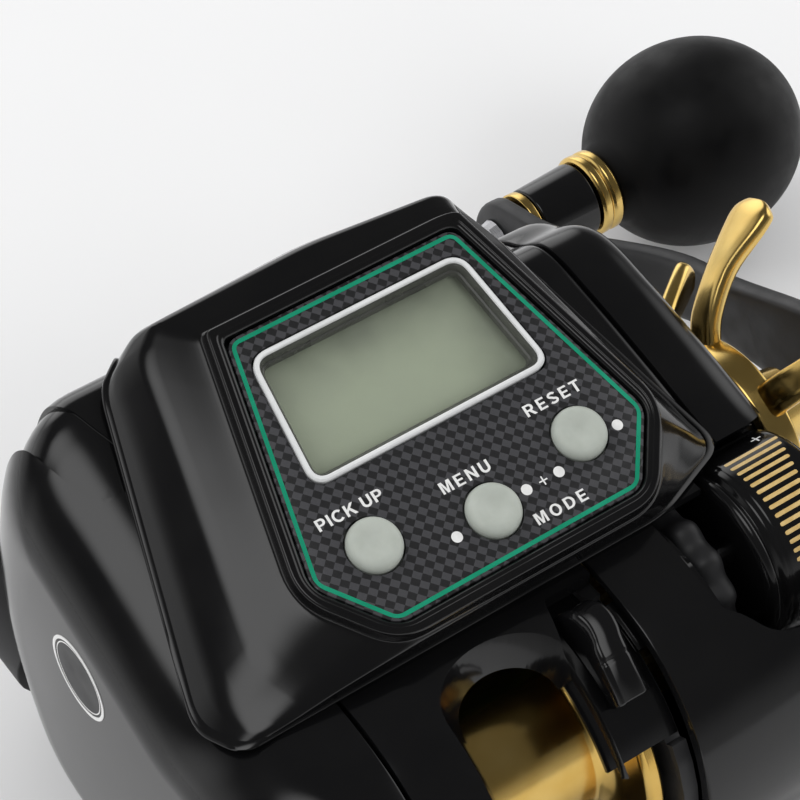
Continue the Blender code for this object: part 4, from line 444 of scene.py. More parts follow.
def softProfile(points, closed=True, steps=4):
    # points are (a, b) or (a, b, r): a corner with r is rounded by that radius
    count = len(points)
    made = []
    for i, point in enumerate(points):
        radius = point[2] if len(point) > 2 else 0.0
        here = Vector(point[:2])
        if radius <= 0 or (not closed and i in (0, count - 1)):
            made.append(here)
            continue
        before = Vector(points[i - 1][:2])
        after = Vector(points[(i + 1) % count][:2])
        reachA = min(radius, (before - here).length * 0.48)
        reachB = min(radius, (after - here).length * 0.48)
        start = here + (before - here).normalized() * reachA
        end = here + (after - here).normalized() * reachB
        made += [cornerPoint(start, here, end, k / steps) for k in range(steps + 1)]
    return made


def turnedPiece(name, profile, axis, sides=96, steps=4, closed=True):
    rows = [circleRow(p.x, p.y, axis, sides) for p in softProfile(profile, closed, steps)]
    return rowsToMesh(name, rows, closed)


def smoothLoop(points, steps):
    count = len(points)
    curve = []
    for i in range(count):
        near = [Vector(points[(i + k) % count]) for k in (-1, 0, 1, 2)]
        curve += [splinePoint(*near, s / steps) for s in range(steps)]
    return curve


def splineThrough(points, steps):
    # points of any length, kept at both ends
    ends = [points[0]] + list(points) + [points[-1]]
    made = []
    for i in range(1, len(ends) - 2):
        near = [Vector(ends[i + k]) for k in (-1, 0, 1, 2)]
        made += [splinePoint(*near, s / steps) for s in range(steps)]
    made.append(Vector(points[-1]))
    return made


def roundCorners(corners, radius, arcSteps=8, edgeSteps=6):
    corners = [Vector(corner) for corner in corners]
    count = len(corners)
    points = []
    for i, corner in enumerate(corners):
        before = corners[i - 1]
        after = corners[(i + 1) % count]
        start = corner + (before - corner).normalized() * min(radius, (before - corner).length / 3)
        reach = min(radius, (after - corner).length / 3)
        end = corner + (after - corner).normalized() * reach
        points += [cornerPoint(start, corner, end, k / arcSteps) for k in range(arcSteps + 1)]
        farEnd = after + (corner - after).normalized() * reach
        for k in range(1, edgeSteps):
            points.append(end.lerp(farEnd, k / edgeSteps))
    return points


def grow(corners, amount):
    count = len(corners)
    grown = []
    for i in range(count):
        before, here, after = (Vector(corners[j % count]) for j in (i - 1, i, i + 1))
        first = (here - before).normalized()
        second = (after - here).normalized()
        normalA = Vector((first.y, -first.x))
        normalB = Vector((second.y, -second.x))
        grown.append(here + (normalA + normalB) / (1 + normalA.dot(normalB)) * amount)
    return grown


def softRows(rows, shares, steps=4, closed=True):
    # round the bend at each row; its share says how far towards the next rows
    made = []
    count = len(rows)
    for i, row in enumerate(rows):
        share = shares[i]
        if not share or (not closed and i in (0, count - 1)):
            made.append(row)
            continue
        before, after = rows[i - 1], rows[(i + 1) % count]
        made += [[cornerPoint(p.lerp(a, share), p, p.lerp(b, share), k / steps)
                  for a, p, b in zip(before, row, after)] for k in range(steps + 1)]
    return made


# Covers on both sides: a rear arc round the spool, a deck and a nose
coverShape = {
    "rearRadius": 28.0, "startAngle": 214, "front": 59.0, "top": 81.0,
    "middle": (8.0, 38.0), "span": 45.0, "wall": 2.0,
    "leftNose": [(-0.03, 0.781), (0.25, 0.858), (0.50, 0.926), (0.68, 0.975), (0.77, 0.985),
                 (0.84, 0.930), (0.90, 0.800), (0.94, 0.640), (0.93, 0.460), (0.86, 0.280),
                 (0.76, 0.150), (0.58, 0.088), (0.20, 0.078), (-0.22, 0.090)],
    "rightNose": [(-0.04, 0.779), (0.20, 0.816), (0.45, 0.849), (0.64, 0.860), (0.75, 0.800),
                  (0.85, 0.750), (0.94, 0.650), (0.97, 0.500), (0.95, 0.340), (0.88, 0.200),
                  (0.76, 0.115), (0.55, 0.082), (0.18, 0.078), (-0.22, 0.090)],
}


def coverOutline(nose, steps=9):
    shape = coverShape
    y, z = axes["spool"]
    start = math.radians(shape["startAngle"])
    points = []
    for i in range(6):
        angle = start + (math.pi / 2 - start) * i / 5
        points.append((y + shape["rearRadius"] * math.cos(angle),
                       z + shape["rearRadius"] * math.sin(angle)))
    points += [(a * shape["front"], b * shape["top"]) for a, b in shape[nose]]
    return smoothLoop(points, steps)


def shrink(outline, inset):
    middle = Vector(coverShape["middle"])
    return [middle + (p - middle) * (1 - inset / coverShape["span"]) for p in outline]


def coverShell(name, outline, profile):
    # profile: (x, inset) round the wall's section
    rows = [[Vector((x, p.x, p.y)) for p in shrink(outline, inset)] for x, inset in profile]
    return rowsToMesh(name, rows)


def shellProfile(xOpen, xClosed, edge, wall, steps, lip=0.35):
    side = 1 if xClosed > xOpen else -1
    outer = [(xOpen, lip), (xOpen + side * lip * 0.3, lip * 0.3), (xOpen + side * lip, 0.0)]
    for i in range(steps + 1):
        angle = math.pi / 2 * i / steps
        outer.append((xClosed - side * edge * (1 - math.sin(angle)), edge * (1 - math.cos(angle))))
    innerEdge = max(edge - wall, wall / 2)
    inner = [(xOpen, wall)]
    for i in range(0, steps + 1, 2):
        angle = math.pi / 2 * i / steps
        inner.append((xClosed - side * (wall + innerEdge * (1 - math.sin(angle))),
                      wall + innerEdge * (1 - math.cos(angle))))
    return list(reversed(outer)) + inner


leftCover = {"open": -20.7, "face": -43.0, "edge": 16.0, "edgeSteps": 14,
             "socket": (-34.0, 24.0), "socketHole": [(42, 7.9), (75, 7.9)]}
leftOutline = coverOutline("leftNose")
shell = coverShell("leftCover", leftOutline,
                   shellProfile(leftCover["open"], leftCover["face"], leftCover["edge"],
                                coverShape["wall"], leftCover["edgeSteps"]))


def forwardTurned(name, profile, x, z, sides=64):
    # turn (y, radius) points round a line that runs forwards
    turns = [2 * math.pi * i / sides for i in range(sides)]
    return rowsToMesh(name, [[Vector((x - r * math.cos(a), y, z + r * math.sin(a))) for a in turns]
                             for y, r in profile])


def coverCore(inset):
    # the cover's full volume, smaller by inset all round
    profile = [(leftCover["open"], inset)]
    edge = leftCover["edge"] - inset
    for i in range(leftCover["edgeSteps"] + 1):
        angle = math.pi / 2 * i / leftCover["edgeSteps"]
        profile.append((leftCover["face"] + inset + edge * (1 - math.sin(angle)),
                        inset + edge * (1 - math.cos(angle))))
    return coverShell("coverCore", leftOutline, profile)


def sinkCover(outline, depth):
    # lower the cover inside an outline seen from above, as (x, y)
    tool = rowsToMesh("sinkTool", [[Vector((x, y, z)) for x, y in outline]
                                   for z in capShape["heights"]])
    cutAway(tool, coverCore(depth))
    cutAway(shell, tool)


capShape = {
    "line": [(-44.0, 47.5), (-39.0, 46.2), (-37.0, 42.0), (-35.4, 36.5), (-34.0, 32.4), (-32.0, 30.1),
             (-29.0, 29.2), (-19.0, 29.6)],
    "ridge": [(-33.0, 62.0), (-30.6, 47.0), (-28.6, 41.8), (-26.9, 37.2), (-25.0, 33.8),
              (-19.0, 30.4)],
    "outerEnd": (-44.0, 62.0), "innerEnd": (-19.0, 62.0), "heights": (62, 96),
    "depth": 1.35, "step": 0.85, "overlap": 0.2,
}
cutAway(shell, forwardTurned("socketHole", leftCover["socketHole"], *leftCover["socket"]))
line, ridge = ([tuple(p) for p in splineThrough(capShape[key], 6)] for key in ("line", "ridge"))
sinkCover(line + ridge[::-1] + [capShape["outerEnd"]], capShape["depth"])
# the second cut overlaps the first, so that no thin wall stays between them
sinkCover([(x - capShape["overlap"], y) for x, y in ridge] + [capShape["innerEnd"]],
          capShape["step"])

# Badge: a plain dark disc with two pale rings, laid on the cover
badgeShape = {"centre": (-38.1, 28.4, 42.8), "towards": (0.386, 0.547, -0.743), "back": 60,
              "rings": {"badgeRing": (6.7, 6.15, 0.12), "badgeInnerRing": (5.75, 5.55, 0.06)},
              "crown": 0.03, "sunk": -0.10, "ringSides": 72,
              "disc": (6.1, 4.1, 2.0, 0.3), "discLift": 0.05, "discSides": 48}
coverTree = BVHTree.FromPolygons([v.co.copy() for v in shell.data.vertices],
                                 [tuple(p.vertices) for p in shell.data.polygons])
towards = Vector(badgeShape["towards"]).normalized()
centre, facing, _, _ = coverTree.ray_cast(Vector(badgeShape["centre"])
                                          - towards * badgeShape["back"], towards)
sideways = facing.cross(Vector((0, 0, 1))).normalized()
upwards = sideways.cross(facing)


def onCover(a, b, lift):
    # a point beside the badge's centre, laid on the cover's surface
    spot = centre + sideways * a + upwards * b + facing * 4
    hit, normal, _, _ = coverTree.ray_cast(spot, -facing)
    return hit + normal * lift


def badgeCircle(radius, lift, sides):
    return [onCover(radius * math.cos(2 * math.pi * i / sides),
                    radius * math.sin(2 * math.pi * i / sides), lift) for i in range(sides)]


shape = badgeShape
sunk = shape["sunk"]
for name, (outer, inner, lift) in shape["rings"].items():
    section = ((outer, sunk), (outer, lift), ((outer + inner) / 2, lift + shape["crown"]),
               (inner, lift), (inner, sunk))
    rows = [badgeCircle(radius, height, shape["ringSides"]) for radius, height in section]
    finishPiece(rowsToMesh(name, rows, closed=True), "whiteInk", smooth=30, slot="gloss_black")
rows = [badgeCircle(shape["disc"][0], sunk, shape["discSides"])]
rows += [badgeCircle(radius, shape["discLift"], shape["discSides"]) for radius in shape["disc"]]
finishPiece(rowsToMesh("badgeDisc", rows), "satinBlack")
finishPiece(shell, "glossBlack", "left_side_cover")
print("side covers made")


# Hood that carries the display
plateCorners = [(19.1, 23.0), (-19.1, 23.0), (-28.0, -13.1), (-20.5, -23.0), (20.5, -23.0),
                (28.0, -13.1)]
headShape = {
    "wall": 1.8, "span": 40.0, "corner": 3.5, "plateCorner": 2.0, "wide": 28.0, "high": 23.0,
    "deck": 8.0,
    "lip": [(-2.2, -1.8), (0.3, -1.8), (0.3, 0.25), (0.62, 0.62), (1.15, 0.66), (1.3, 0.8),
            (2.15, 0.8), (2.42, 0.55), (2.75, -1.05), (3.2, -1.35)],
    "lipSoft": [0, 0, 0.2, 0.45, 0.4, 0.4, 0.35, 0.3, 0.3, 0.4],
    "band": [(0.80, 1.28, -0.25), (0.0, 1.36, -0.25), (-0.88, 1.34, -0.26), (-0.93, 1.33, -0.28),
             (-1.05, 1.20, -0.34), (-1.38, -0.78, -0.38), (-1.25, -1.14, -0.44),
             (0.80, -1.14, -0.31), (1.21, -0.75, -0.53), (0.90, 1.08, -0.95)],
    "shoulder": [(0.84, 1.33, -0.75), (0.0, 1.44, -0.77), (-0.97, 1.40, -0.80),
                 (-1.01, 1.37, -0.70), (-1.20, 1.20, -0.70), (-1.62, -0.85, -0.75),
                 (-1.52, -1.152, -0.60), (0.82, -1.157, -0.55), (1.30, -0.92, -0.85),
                 (1.02, 0.935, -1.02)],
    "rim": [(0.91, 1.196, -3.12), (0.0, 1.26, -3.12), (-1.09, 1.26, -3.12), (-1.06, 1.357, -1.07),
            (-1.26, 1.174, -0.93), (-1.75, -0.87, -1.14), (-1.64, -1.157, -0.74),
            (0.83, -1.157, -0.66), (1.36, -0.924, -0.975), (1.13, 0.85, -1.79)],
    "softer": [0.22, 0.30, 0.08, 0.10, 0.2, 0.2, 0], "underPlate": (-2.2, -1.8),
    # a thin bead along the lower edge, as (inset, drop)
    "bead": [(-0.10, 0.10), (-0.42, 0.02), (-0.50, -0.18), (-0.42, -0.42), (-0.10, -0.55),
             (0.60, -0.55), (0.60, 0.10)],
}


def tenCorners(six):
    six = [Vector(corner) for corner in six]
    topRight, topLeft, left, bottomLeft, bottomRight, right = six
    return [topRight, topLeft.lerp(topRight, 0.5), topLeft.lerp(topRight, 0.06), topLeft,
            topLeft.lerp(left, 0.10), left, bottomLeft, bottomRight, right,
            right.lerp(topRight, 0.90)]


def plateRow(amount, depth):
    corners = [(p.x, p.y, depth) for p in tenCorners(grow(plateCorners, amount))]
    return roundCorners(corners, headShape["plateCorner"] + max(amount, 0))


def shareRow(key, inset=0.0, drop=0.0, lowest=None):
    shape = headShape
    scale = 1 - inset / shape["span"]
    corners = []
    for i, (u, v, n) in enumerate(shape[key]):
        depth = n * shape["deck"] - drop
        if lowest:
            depth = max(depth, shape[lowest][i][2] * shape["deck"])
        corners.append((u * scale * shape["wide"], v * scale * shape["high"], depth))
    return roundCorners(corners, shape["corner"])


wall = headShape["wall"]
under, depth = headShape["underPlate"]
rows = [plateRow(a, n) for a, n in headShape["lip"]]
rows += [shareRow("band"), shareRow("shoulder"), shareRow("rim"), shareRow("rim", wall),
         shareRow("shoulder", wall, wall, "rim"), shareRow("band", wall, wall, "rim"),
         plateRow(under, depth - wall)]
rows = softRows(rows, headShape["lipSoft"] + headShape["softer"], 5)
bead = [shareRow("rim", inset, drop) for inset, drop in headShape["bead"]]
for name, rows, replaced in (("headHood", rows, ["head_housing"]), ("hoodBead", bead, [])):
    head = rowsToMesh(name, [[onPanel(*p) for p in row] for row in rows], closed=True)
    finishPiece(head, "glossBlack", *replaced, smooth=50)
print("display hood made")


# Printed plate, window and buttons
buttonPlaces = {"pickUp": (-17.24, -12.0), "menu": (0.0, -15.7), "reset": (17.24, -12.0)}
windowShape = {
    "corners": [(17.8, 19.4), (-17.8, 19.4), (-20.0, -1.2), (20.0, -1.2)], "corner": 3.0,
    "gap": 0.3,
    # sections as (outwards, n), from the rim's outer edge
    "rim": [(0.0, -3.0), (0.0, 0.12), (-0.10, 0.3), (-0.28, 0.42), (-0.60, 0.42), (-0.77, 0.3),
            (-0.85, 0.1), (-0.85, -3.0)],
    "recess": [(-0.87, 0.02), (-1.01, 0.0), (-1.30, -0.50), (-1.35, -1.20), (-1.63, -1.35),
               (-1.85, -2.05), (-0.87, -2.15)],
    "pane": [(-1.5, -2.75), (-1.5, -2.2)], "crystal": [(0.2, -5.25), (0.2, -3.35)],
}
plateShape = {"section": [(0, -1.5), (0, -0.12), (-0.06, -0.03), (-0.15, 0.0)],
              "line": [(-0.50, -0.02), (-0.50, 0.05), (-1.12, 0.05), (-1.12, -0.02)],
              "through": (-6, 6), "buttonHole": 4.3}


def panelSlab(name, outlines, closed=False):
    # outlines: (points, n) from low to high
    rows = [[onPanel(p[0], p[1], n) for p in points] for points, n in outlines]
    return rowsToMesh(name, rows, closed)


def panelTurned(name, profile, u, v, sides=72, steps=4, closed=False, turn=0.5):
    rows = []
    for p in softProfile(profile, closed, steps):
        rows.append([onPanel(u + p.y * math.cos(2 * math.pi * (i + turn) / sides),
                             v + p.y * math.sin(2 * math.pi * (i + turn) / sides), p.x)
                     for i in range(sides)])
    return rowsToMesh(name, rows, closed)


def plateOutline(amount, corner=2.0):
    return roundCorners(grow(plateCorners, amount), max(corner + amount, 0.3), 8, 2)


def windowOutline(amount):
    shape = windowShape
    return roundCorners(grow(shape["corners"], amount), shape["corner"] + amount, 10, 8)


def windowLayer(name, key, closed=False):
    return panelSlab(name, [(windowOutline(a), n) for a, n in windowShape[key]], closed)


plate = panelSlab("carbonPlate", [(plateOutline(a), n) for a, n in plateShape["section"]])
cutAway(plate, panelSlab("windowTool", [(windowOutline(windowShape["gap"]), n)
                                        for n in plateShape["through"]]))
for u, v in buttonPlaces.values():
    hole = [(n, plateShape["buttonHole"]) for n in plateShape["through"]]
    cutAway(plate, panelTurned("buttonTool", hole, u, v))
finishPiece(plate, "wovenPlate", "display_plate")
line = panelSlab("greenLine", [(plateOutline(a), n) for a, n in plateShape["line"]], closed=True)
finishPiece(line, "greenEnamel")
finishPiece(windowLayer("windowRim", "rim", True), "whiteEnamel", "window_frame", smooth=30)
# dark sloping walls inside the window, with a thin step
finishPiece(windowLayer("windowRecess", "recess", True), "recessGrey", smooth=30)
finishPiece(windowLayer("windowPane", "pane"), "clearPane", "display_window")
finishPiece(windowLayer("crystalPanel", "crystal"), "crystalPanel", "lcd_module")

buttonProfile = [(-2.6, 4.8), (-1.8, 4.8, 0.2), (-1.8, 4.0), (0.55, 4.0, 0.5), (1.25, 3.55, 0.6),
                 (1.5, 2.75, 0.7), (1.46, 1.9, 0.5), (1.27, 0.9, 0.5), (1.23, 0.15)]
buttonBodies = {"pickUp": "pick_up", "menu": "menu", "reset": "reset"}
for name, (u, v) in buttonPlaces.items():
    cap = panelTurned(name + "Button", buttonProfile, u, v, 80, 5)
    body = buttonBodies[name]
    finishPiece(cap, "buttonRubber", "button_" + body, body=body)

# Printed words, from start to end, and marks. Letters are outlines on a cap height of 1.
wordShape = {
    "RESET": ((12.2, -6.55), (21.6, -6.65)), "MENU": ((-4.75, -10.5), (3.3, -10.6)),
    "MODE": ((4.4, -20.6), (12.9, -20.7)), "PICK UP": ((-22.7, -6.9), (-12.2, -7.0)),
}
letterShape = {"height": 1.78, "thick": 0.03, "stem": 0.20, "bar": 0.165, "stretch": 1.12, "space": 0.14}


def arcPoints(x, y, reachX, reachY, start, end, steps=14):
    turns = [math.radians(start + (end - start) * i / steps) for i in range(steps + 1)]
    return [(x + reachX * math.cos(a), y + reachY * math.sin(a)) for a in turns]


def strokeOutline(path, width):
    # a line of even width round a path
    left, right = [], []
    for i, here in enumerate(path):
        ahead = Vector(path[min(i + 1, len(path) - 1)]) - Vector(path[max(i - 1, 0)])
        side = Vector((-ahead.y, ahead.x)).normalized() * width / 2
        left.append(Vector(here) + side)
        right.append(Vector(here) - side)
    return left + right[::-1]


def bowlOutline(left, low, right, high, flat):
    # straight on the left, round on the right
    return [(left, low)] + arcPoints(flat, (low + high) / 2, right - flat, (high - low) / 2,
                                     -90, 90) + [(left, high)]


# each letter's width and its closed outlines, holes among them
stem, bar = letterShape["stem"], letterShape["bar"]
mid = (1 - bar) / 2
letterOutlines = {
    "E": (0.66, [[(0, 0), (0.66, 0), (0.66, bar), (stem, bar), (stem, mid), (0.61, mid),
        (0.61, mid + bar), (stem, mid + bar), (stem, 1 - bar), (0.65, 1 - bar),
        (0.65, 1), (0, 1)]]),
    "T": (0.74, [[(0.27, 0), (0.47, 0), (0.47, 1 - bar), (0.74, 1 - bar), (0.74, 1), (0, 1),
        (0, 1 - bar), (0.27, 1 - bar)]]),
    "M": (0.90, [[(0, 0), (0.18, 0), (0.18, 0.76), (0.36, 0), (0.54, 0), (0.72, 0.76),
        (0.72, 0), (0.90, 0), (0.90, 1), (0.63, 1), (0.45, 0.31), (0.27, 1),
        (0, 1)]]),
    "N": (0.78, [[(0, 0), (0.19, 0), (0.19, 0.66), (0.585, 0), (0.78, 0), (0.78, 1),
        (0.59, 1), (0.59, 0.34), (0.20, 1), (0, 1)]]),
    "I": (stem, [[(0, 0), (stem, 0), (stem, 1), (0, 1)]]),
    "K": (0.84, [[(0, 0), (stem, 0), (stem, 0.33), (0.335, 0.475), (0.59, 0), (0.84, 0),
        (0.475, 0.615), (0.82, 1), (0.56, 1), (stem, 0.58), (stem, 1), (0, 1)]]),
    "U": (0.76, [strokeOutline([(stem / 2, 1)] + arcPoints(0.38, 0.375, 0.28, 0.285, 180, 360)
        + [(0.66, 1)], stem)]),
    "O": (0.90, [arcPoints(0.45, 0.5, 0.45, 0.52, 0, 345, 23),
        arcPoints(0.45, 0.5, 0.245, 0.345, 0, 345, 23)]),
    "D": (0.80, [bowlOutline(0, 0, 0.80, 1, 0.34),
        bowlOutline(stem, bar, 0.595, 1 - bar, 0.33)]),
    "P": (0.72, [[(0, 0), (stem, 0), (stem, 0.36)]
        + arcPoints(0.42, 0.68, 0.30, 0.32, -90, 90) + [(0, 1)],
        bowlOutline(stem, 0.52, 0.52, 1 - bar, 0.38)]),
    "R": (0.82, [[(0, 0), (stem, 0), (stem, 0.39), (0.33, 0.39), (0.58, 0), (0.82, 0),
        (0.56, 0.41)] + arcPoints(0.45, 0.695, 0.30, 0.305, -60, 90) + [(0, 1)],
        bowlOutline(stem, 0.545, 0.55, 1 - bar, 0.42)]),
    "C": (0.84, [strokeOutline(arcPoints(0.45, 0.5, 0.355, 0.425, 42, 318, 26), 0.19)]),
    "S": (0.74, [strokeOutline(arcPoints(0.37, 0.735, 0.265, 0.18, 22, 250, 16)
        + arcPoints(0.37, 0.265, 0.275, 0.18, 75, -158, 16), 0.18)]),
    " ": (letterShape["space"], []),
}


def flatWord(name, text, start, end):
    letters = [letterOutlines[letter] for letter in text]
    length = (Vector(end) - Vector(start)).length
    length /= letterShape["stretch"] * letterShape["height"]
    gap = (length - sum(width for width, _ in letters)) / (len(letters) - 1)
    curve = bpy.data.curves.new(name, "CURVE")
    curve.dimensions = "2D"
    curve.fill_mode = "BOTH"
    curve.extrude = 0.5
    x = 0.0
    for width, outlines in letters:
        for outline in outlines:
            line = curve.splines.new("POLY")
            line.points.add(len(outline) - 1)
            for point, spot in zip(line.points, outline):
                point.co = (x + spot[0], spot[1], 0, 1)
            line.use_cyclic_u = True
        x += width + gap
    made = meshObject(name, curve)
    graph = bpy.context.evaluated_depsgraph_get()
    mesh = bpy.data.meshes.new_from_object(made.evaluated_get(graph))
    bpy.data.objects.remove(made, do_unlink=True)
    return meshObject(name, mesh)


def placeWord(word, start, end):
    xs, ys = ([v.co[i] for v in word.data.vertices] for i in (0, 1))
    width, height = max(xs) - min(xs), max(ys) - min(ys)
    start = Vector(start)
    along = Vector(end) - start
    side = Vector((-along.y, along.x)).normalized() * letterShape["height"] / height
    along = along / width
    for v in word.data.vertices:
        p = start + along * (v.co.x - min(xs)) + side * (v.co.y - min(ys))
        v.co = onPanel(p.x, p.y, letterShape["thick"] * (v.co.z + 0.4))
    cleanMesh(word, 0.002)


for text, ends in wordShape.items():
    word = flatWord("word" + text.title().replace(" ", ""), text, *ends)
    placeWord(word, *ends)
    finishPiece(word, "whiteInk", smooth=20)

markShape = {"dots": [(22.85, -13.5), (11.4, -15.33), (5.85, -15.36), (-6.6, -16.45)],
             "dotProfile": [(-0.02, 0.82), (0.03, 0.82, 0.02), (0.04, 0.6)],
             "plus": (8.68, -15.35), "plusReach": 0.68, "plusWidth": 0.2}
for i, (u, v) in enumerate(markShape["dots"]):
    dot = panelTurned("dot" + str(i + 1), markShape["dotProfile"], u, v, 40)
    finishPiece(dot, "whiteInk")


def crossOutline(u, v, reach, width):
    a, b = reach, width / 2
    return [(u + x, v + y) for x, y in ((a, -b), (a, b), (b, b), (b, a), (-b, a), (-b, b), (-a, b),
                                        (-a, -b), (-b, -b), (-b, -a), (b, -a), (b, -b))]


cross = crossOutline(*markShape["plus"], markShape["plusReach"], markShape["plusWidth"])
plus = panelSlab("plusMark", [(cross, -0.02), (cross, 0.04)])
finishPiece(plus, "whiteInk")
print("display, buttons and print made")


# Curved guard over the spool with an arch for the thumb
guardShape = {"outer": 28.0, "thick": 2.2, "front": 78, "rear": 146, "half": 20.1,
              "low": 22.0, "high": 31.0, "slopeTurn": 0.95, "slopeSide": 0.055,
              "archHalf": 10.2, "archFront": 91, "archCurve": 16, "archSteps": 15,
              "archRun": range(4, 60, 4), "slotLeft": 12.1,
              "slotRight": 30.0, "slotFront": 88, "slotRear": 165, "slotSlant": 2.5,
              "slotSlantEnd": 105, "edge": 0.6,
              "lipHalf": 13.3, "lipInner": 23.3, "lipFront": 82, "lipRear": 112,
              "floorLeft": 8.2, "floorRight": 20.3, "floorInner": 23.4, "floorOuter": 24.05,
              "floorRear": 144}


def ringSector(axis, inner, outer, start, end, steps):
    y, z = axes[axis]
    angles = [math.radians(start + (end - start) * i / steps) for i in range(steps + 1)]
    outside = [(y + outer * math.cos(a), z + outer * math.sin(a)) for a in angles]
    inside = [(y + inner * math.cos(a), z + inner * math.sin(a)) for a in angles]
    return outside + inside[::-1]


def prismX(name, outline, xFrom, xTo):
    return rowsToMesh(name, [[Vector((x, y, z)) for y, z in outline] for x in (xFrom, xTo)])


def crossSection(left, right, low, high):
    return ((left, low), (right, low), (right, high), (left, high))


def archTool(shape):
    stations = []
    # the first station lies a little way along the curve, so that it has a width
    for i in range(shape["archSteps"]):
        turn = math.pi / 2 * (i + 0.3) / (shape["archSteps"] - 0.7)
        stations.append((shape["archHalf"] * math.sin(turn),
                         shape["archFront"] + shape["archCurve"] * (1 - math.cos(turn))))
    stations += [(shape["archHalf"], shape["archFront"] + shape["archCurve"] + a)
                 for a in shape["archRun"]]
    rows = []
    for half, degrees in stations:
        # the wall slopes: the opening is smaller at its inner end
        row = []
        for side, r in crossSection(-1, 1, shape["low"], shape["high"]):
            depth = shape["outer"] - r
            row.append(roundAxis("spool", side * half * (1 - depth * shape["slopeSide"]), r,
                                 math.radians(degrees + depth * shape["slopeTurn"])))
        rows.append(row)
    return rowsToMesh("archTool", rows)


def slotTool(shape, steps=34):
    # its left side slants towards the arch
    rows = []
    for i in range(steps + 1):
        degrees = shape["slotFront"] + (shape["slotRear"] - shape["slotFront"]) * i / steps
        share = min((degrees - shape["slotFront"]) / (shape["slotSlantEnd"] - shape["slotFront"]), 1)
        left = shape["slotLeft"] - shape["slotSlant"] * share
        rows.append([roundAxis("spool", x, r, math.radians(degrees)) for x, r in
                     crossSection(left, shape["slotRight"], shape["low"], shape["high"])])
    return rowsToMesh("slotTool", rows)


shape = guardShape
guard = prismX("rearGuard", ringSector("spool", shape["outer"] - shape["thick"], shape["outer"],
                                       shape["front"], shape["rear"], 48),
               -shape["half"], shape["half"])
lip = prismX("archLip", ringSector("spool", shape["lipInner"], shape["outer"] - shape["thick"] / 2,
                                   shape["lipFront"], shape["lipRear"], 30),
             -shape["lipHalf"], shape["slotLeft"])
cutAway(guard, lip, "UNION")
for tool in (slotTool(shape), archTool(shape)):
    cutAway(guard, tool)
roundEdges(guard, shape["edge"], 3, 40)
finishPiece(guard, "glossBlack", "rear_guard", smooth=45)
floor = prismX("slotFloor", ringSector("spool", shape["floorInner"], shape["floorOuter"],
                                       shape["lipFront"], shape["floorRear"], 50),
               shape["floorLeft"], shape["floorRight"])
finishPiece(floor, smooth=45)
print("rear guard made")


# Spool
spoolProfile = [(-17.0, 3.2), (-17.0, 21.8, 0.4), (-16.4, 22.95, 0.3), (-14.85, 22.95, 0.25),
                (-14.2, 21.8, 0.5), (-14.2, 15.2, 1.4), (-12.6, 13.0, 0.8), (12.6, 13.0, 0.8),
                (14.2, 15.2, 1.4), (14.2, 21.8, 0.5), (14.85, 22.95, 0.25), (16.4, 22.95, 0.3),
                (17.0, 21.8, 0.4), (17.0, 3.2)]
spool = turnedPiece("goldSpool", spoolProfile, "spool", 160, 5)
finishPiece(spool, "goldSpool", "spool", body="spool_body", smooth=40)
print("spool made")


# Speed dial, its scale hood and the pocket
dialShape = {"radius": 12.0, "flute": 0.95, "count": 12, "left": 34.5, "width": 4.8, "bore": 2.0,
             "crown": 2.0, "shoulder": 2.6, "rows": 12, "sidesPerFlute": 20}


def lobedRow(x, inset, shape, sides):
    row = []
    for i in range(sides):
        a = 2 * math.pi * i / sides
        wave = (1 - math.cos(shape["count"] * a)) / 2
        row.append(roundAxis("dial", x, shape["radius"] - inset - shape["flute"] * wave, a))
    return row


shape = dialShape
sides = shape["count"] * shape["sidesPerFlute"]
rows = []
for k in range(shape["rows"] + 1):
    t = math.pi * k / shape["rows"]
    rows.append(lobedRow(shape["left"] + shape["width"] / 2 * (1 - math.cos(t)),
                         shape["crown"] * (1 - math.sin(t) ** 0.8), shape, sides))
x = shape["left"] + shape["width"]
rows.append(lobedRow(x, shape["shoulder"], shape, sides))
rows += [circleRow(end, shape["bore"], "dial", sides) for end in (x, shape["left"])]
wheel = rowsToMesh("dialWheel", rows, closed=True)
finishPiece(wheel, "satinBlack", "speed_dial", body="dial", smooth=75, slot="gloss_black")

hoodShape = {
    "profile": [(57.7, 0.05), (57.7, 12.2, 0.3), (46.9, 12.2, 0.3), (46.6, 9.9), (44.6, 8.6, 0.3),
                (44.6, 2.0), (43.0, 2.0), (43.0, 12.4, 0.7), (43.6, 13.3, 0.5), (44.4, 13.5, 0.4),
                (44.9, 13.1, 0.2), (45.2, 12.85, 0.3), (45.6, 13.2, 0.2), (46.1, 13.65, 0.4),
                (46.9, 13.65, 0.4), (47.2, 13.8, 0.3), (58.1, 13.8, 0.9), (59.3, 12.6, 0.6),
                (59.3, 0.05)],
    "radius": 13.8, "lines": 14, "first": 70.2, "last": 145.6, "from": (47.9, 48.4), "to": 57.6,
    "narrower": 0.075, "width": 0.62, "corner": 0.25, "cornerTurn": 0.5, "lift": 0.03,
    "plus": (55.4, 61.1), "plusReach": 0.85, "plusWidth": 0.26,
}
hood = turnedPiece("scaleHood", hoodShape["profile"], "dial", 128, 5, closed=False)
finishPiece(hood, "glossBlack", "scale_hood", smooth=35)


def drumMark(name, outline):
    # outline: (x, degrees) on the drum
    lift = hoodShape["lift"]
    return rowsToMesh(name, [[roundAxis("dial", x, hoodShape["radius"] + rise, math.radians(a))
                              for x, a in outline] for rise in (-lift, lift)])


def joinPieces(name, pieces):
    work = bmesh.new()
    for piece in pieces:
        work.from_mesh(piece.data)
        bpy.data.objects.remove(piece, do_unlink=True)
    return workToPiece(name, work)


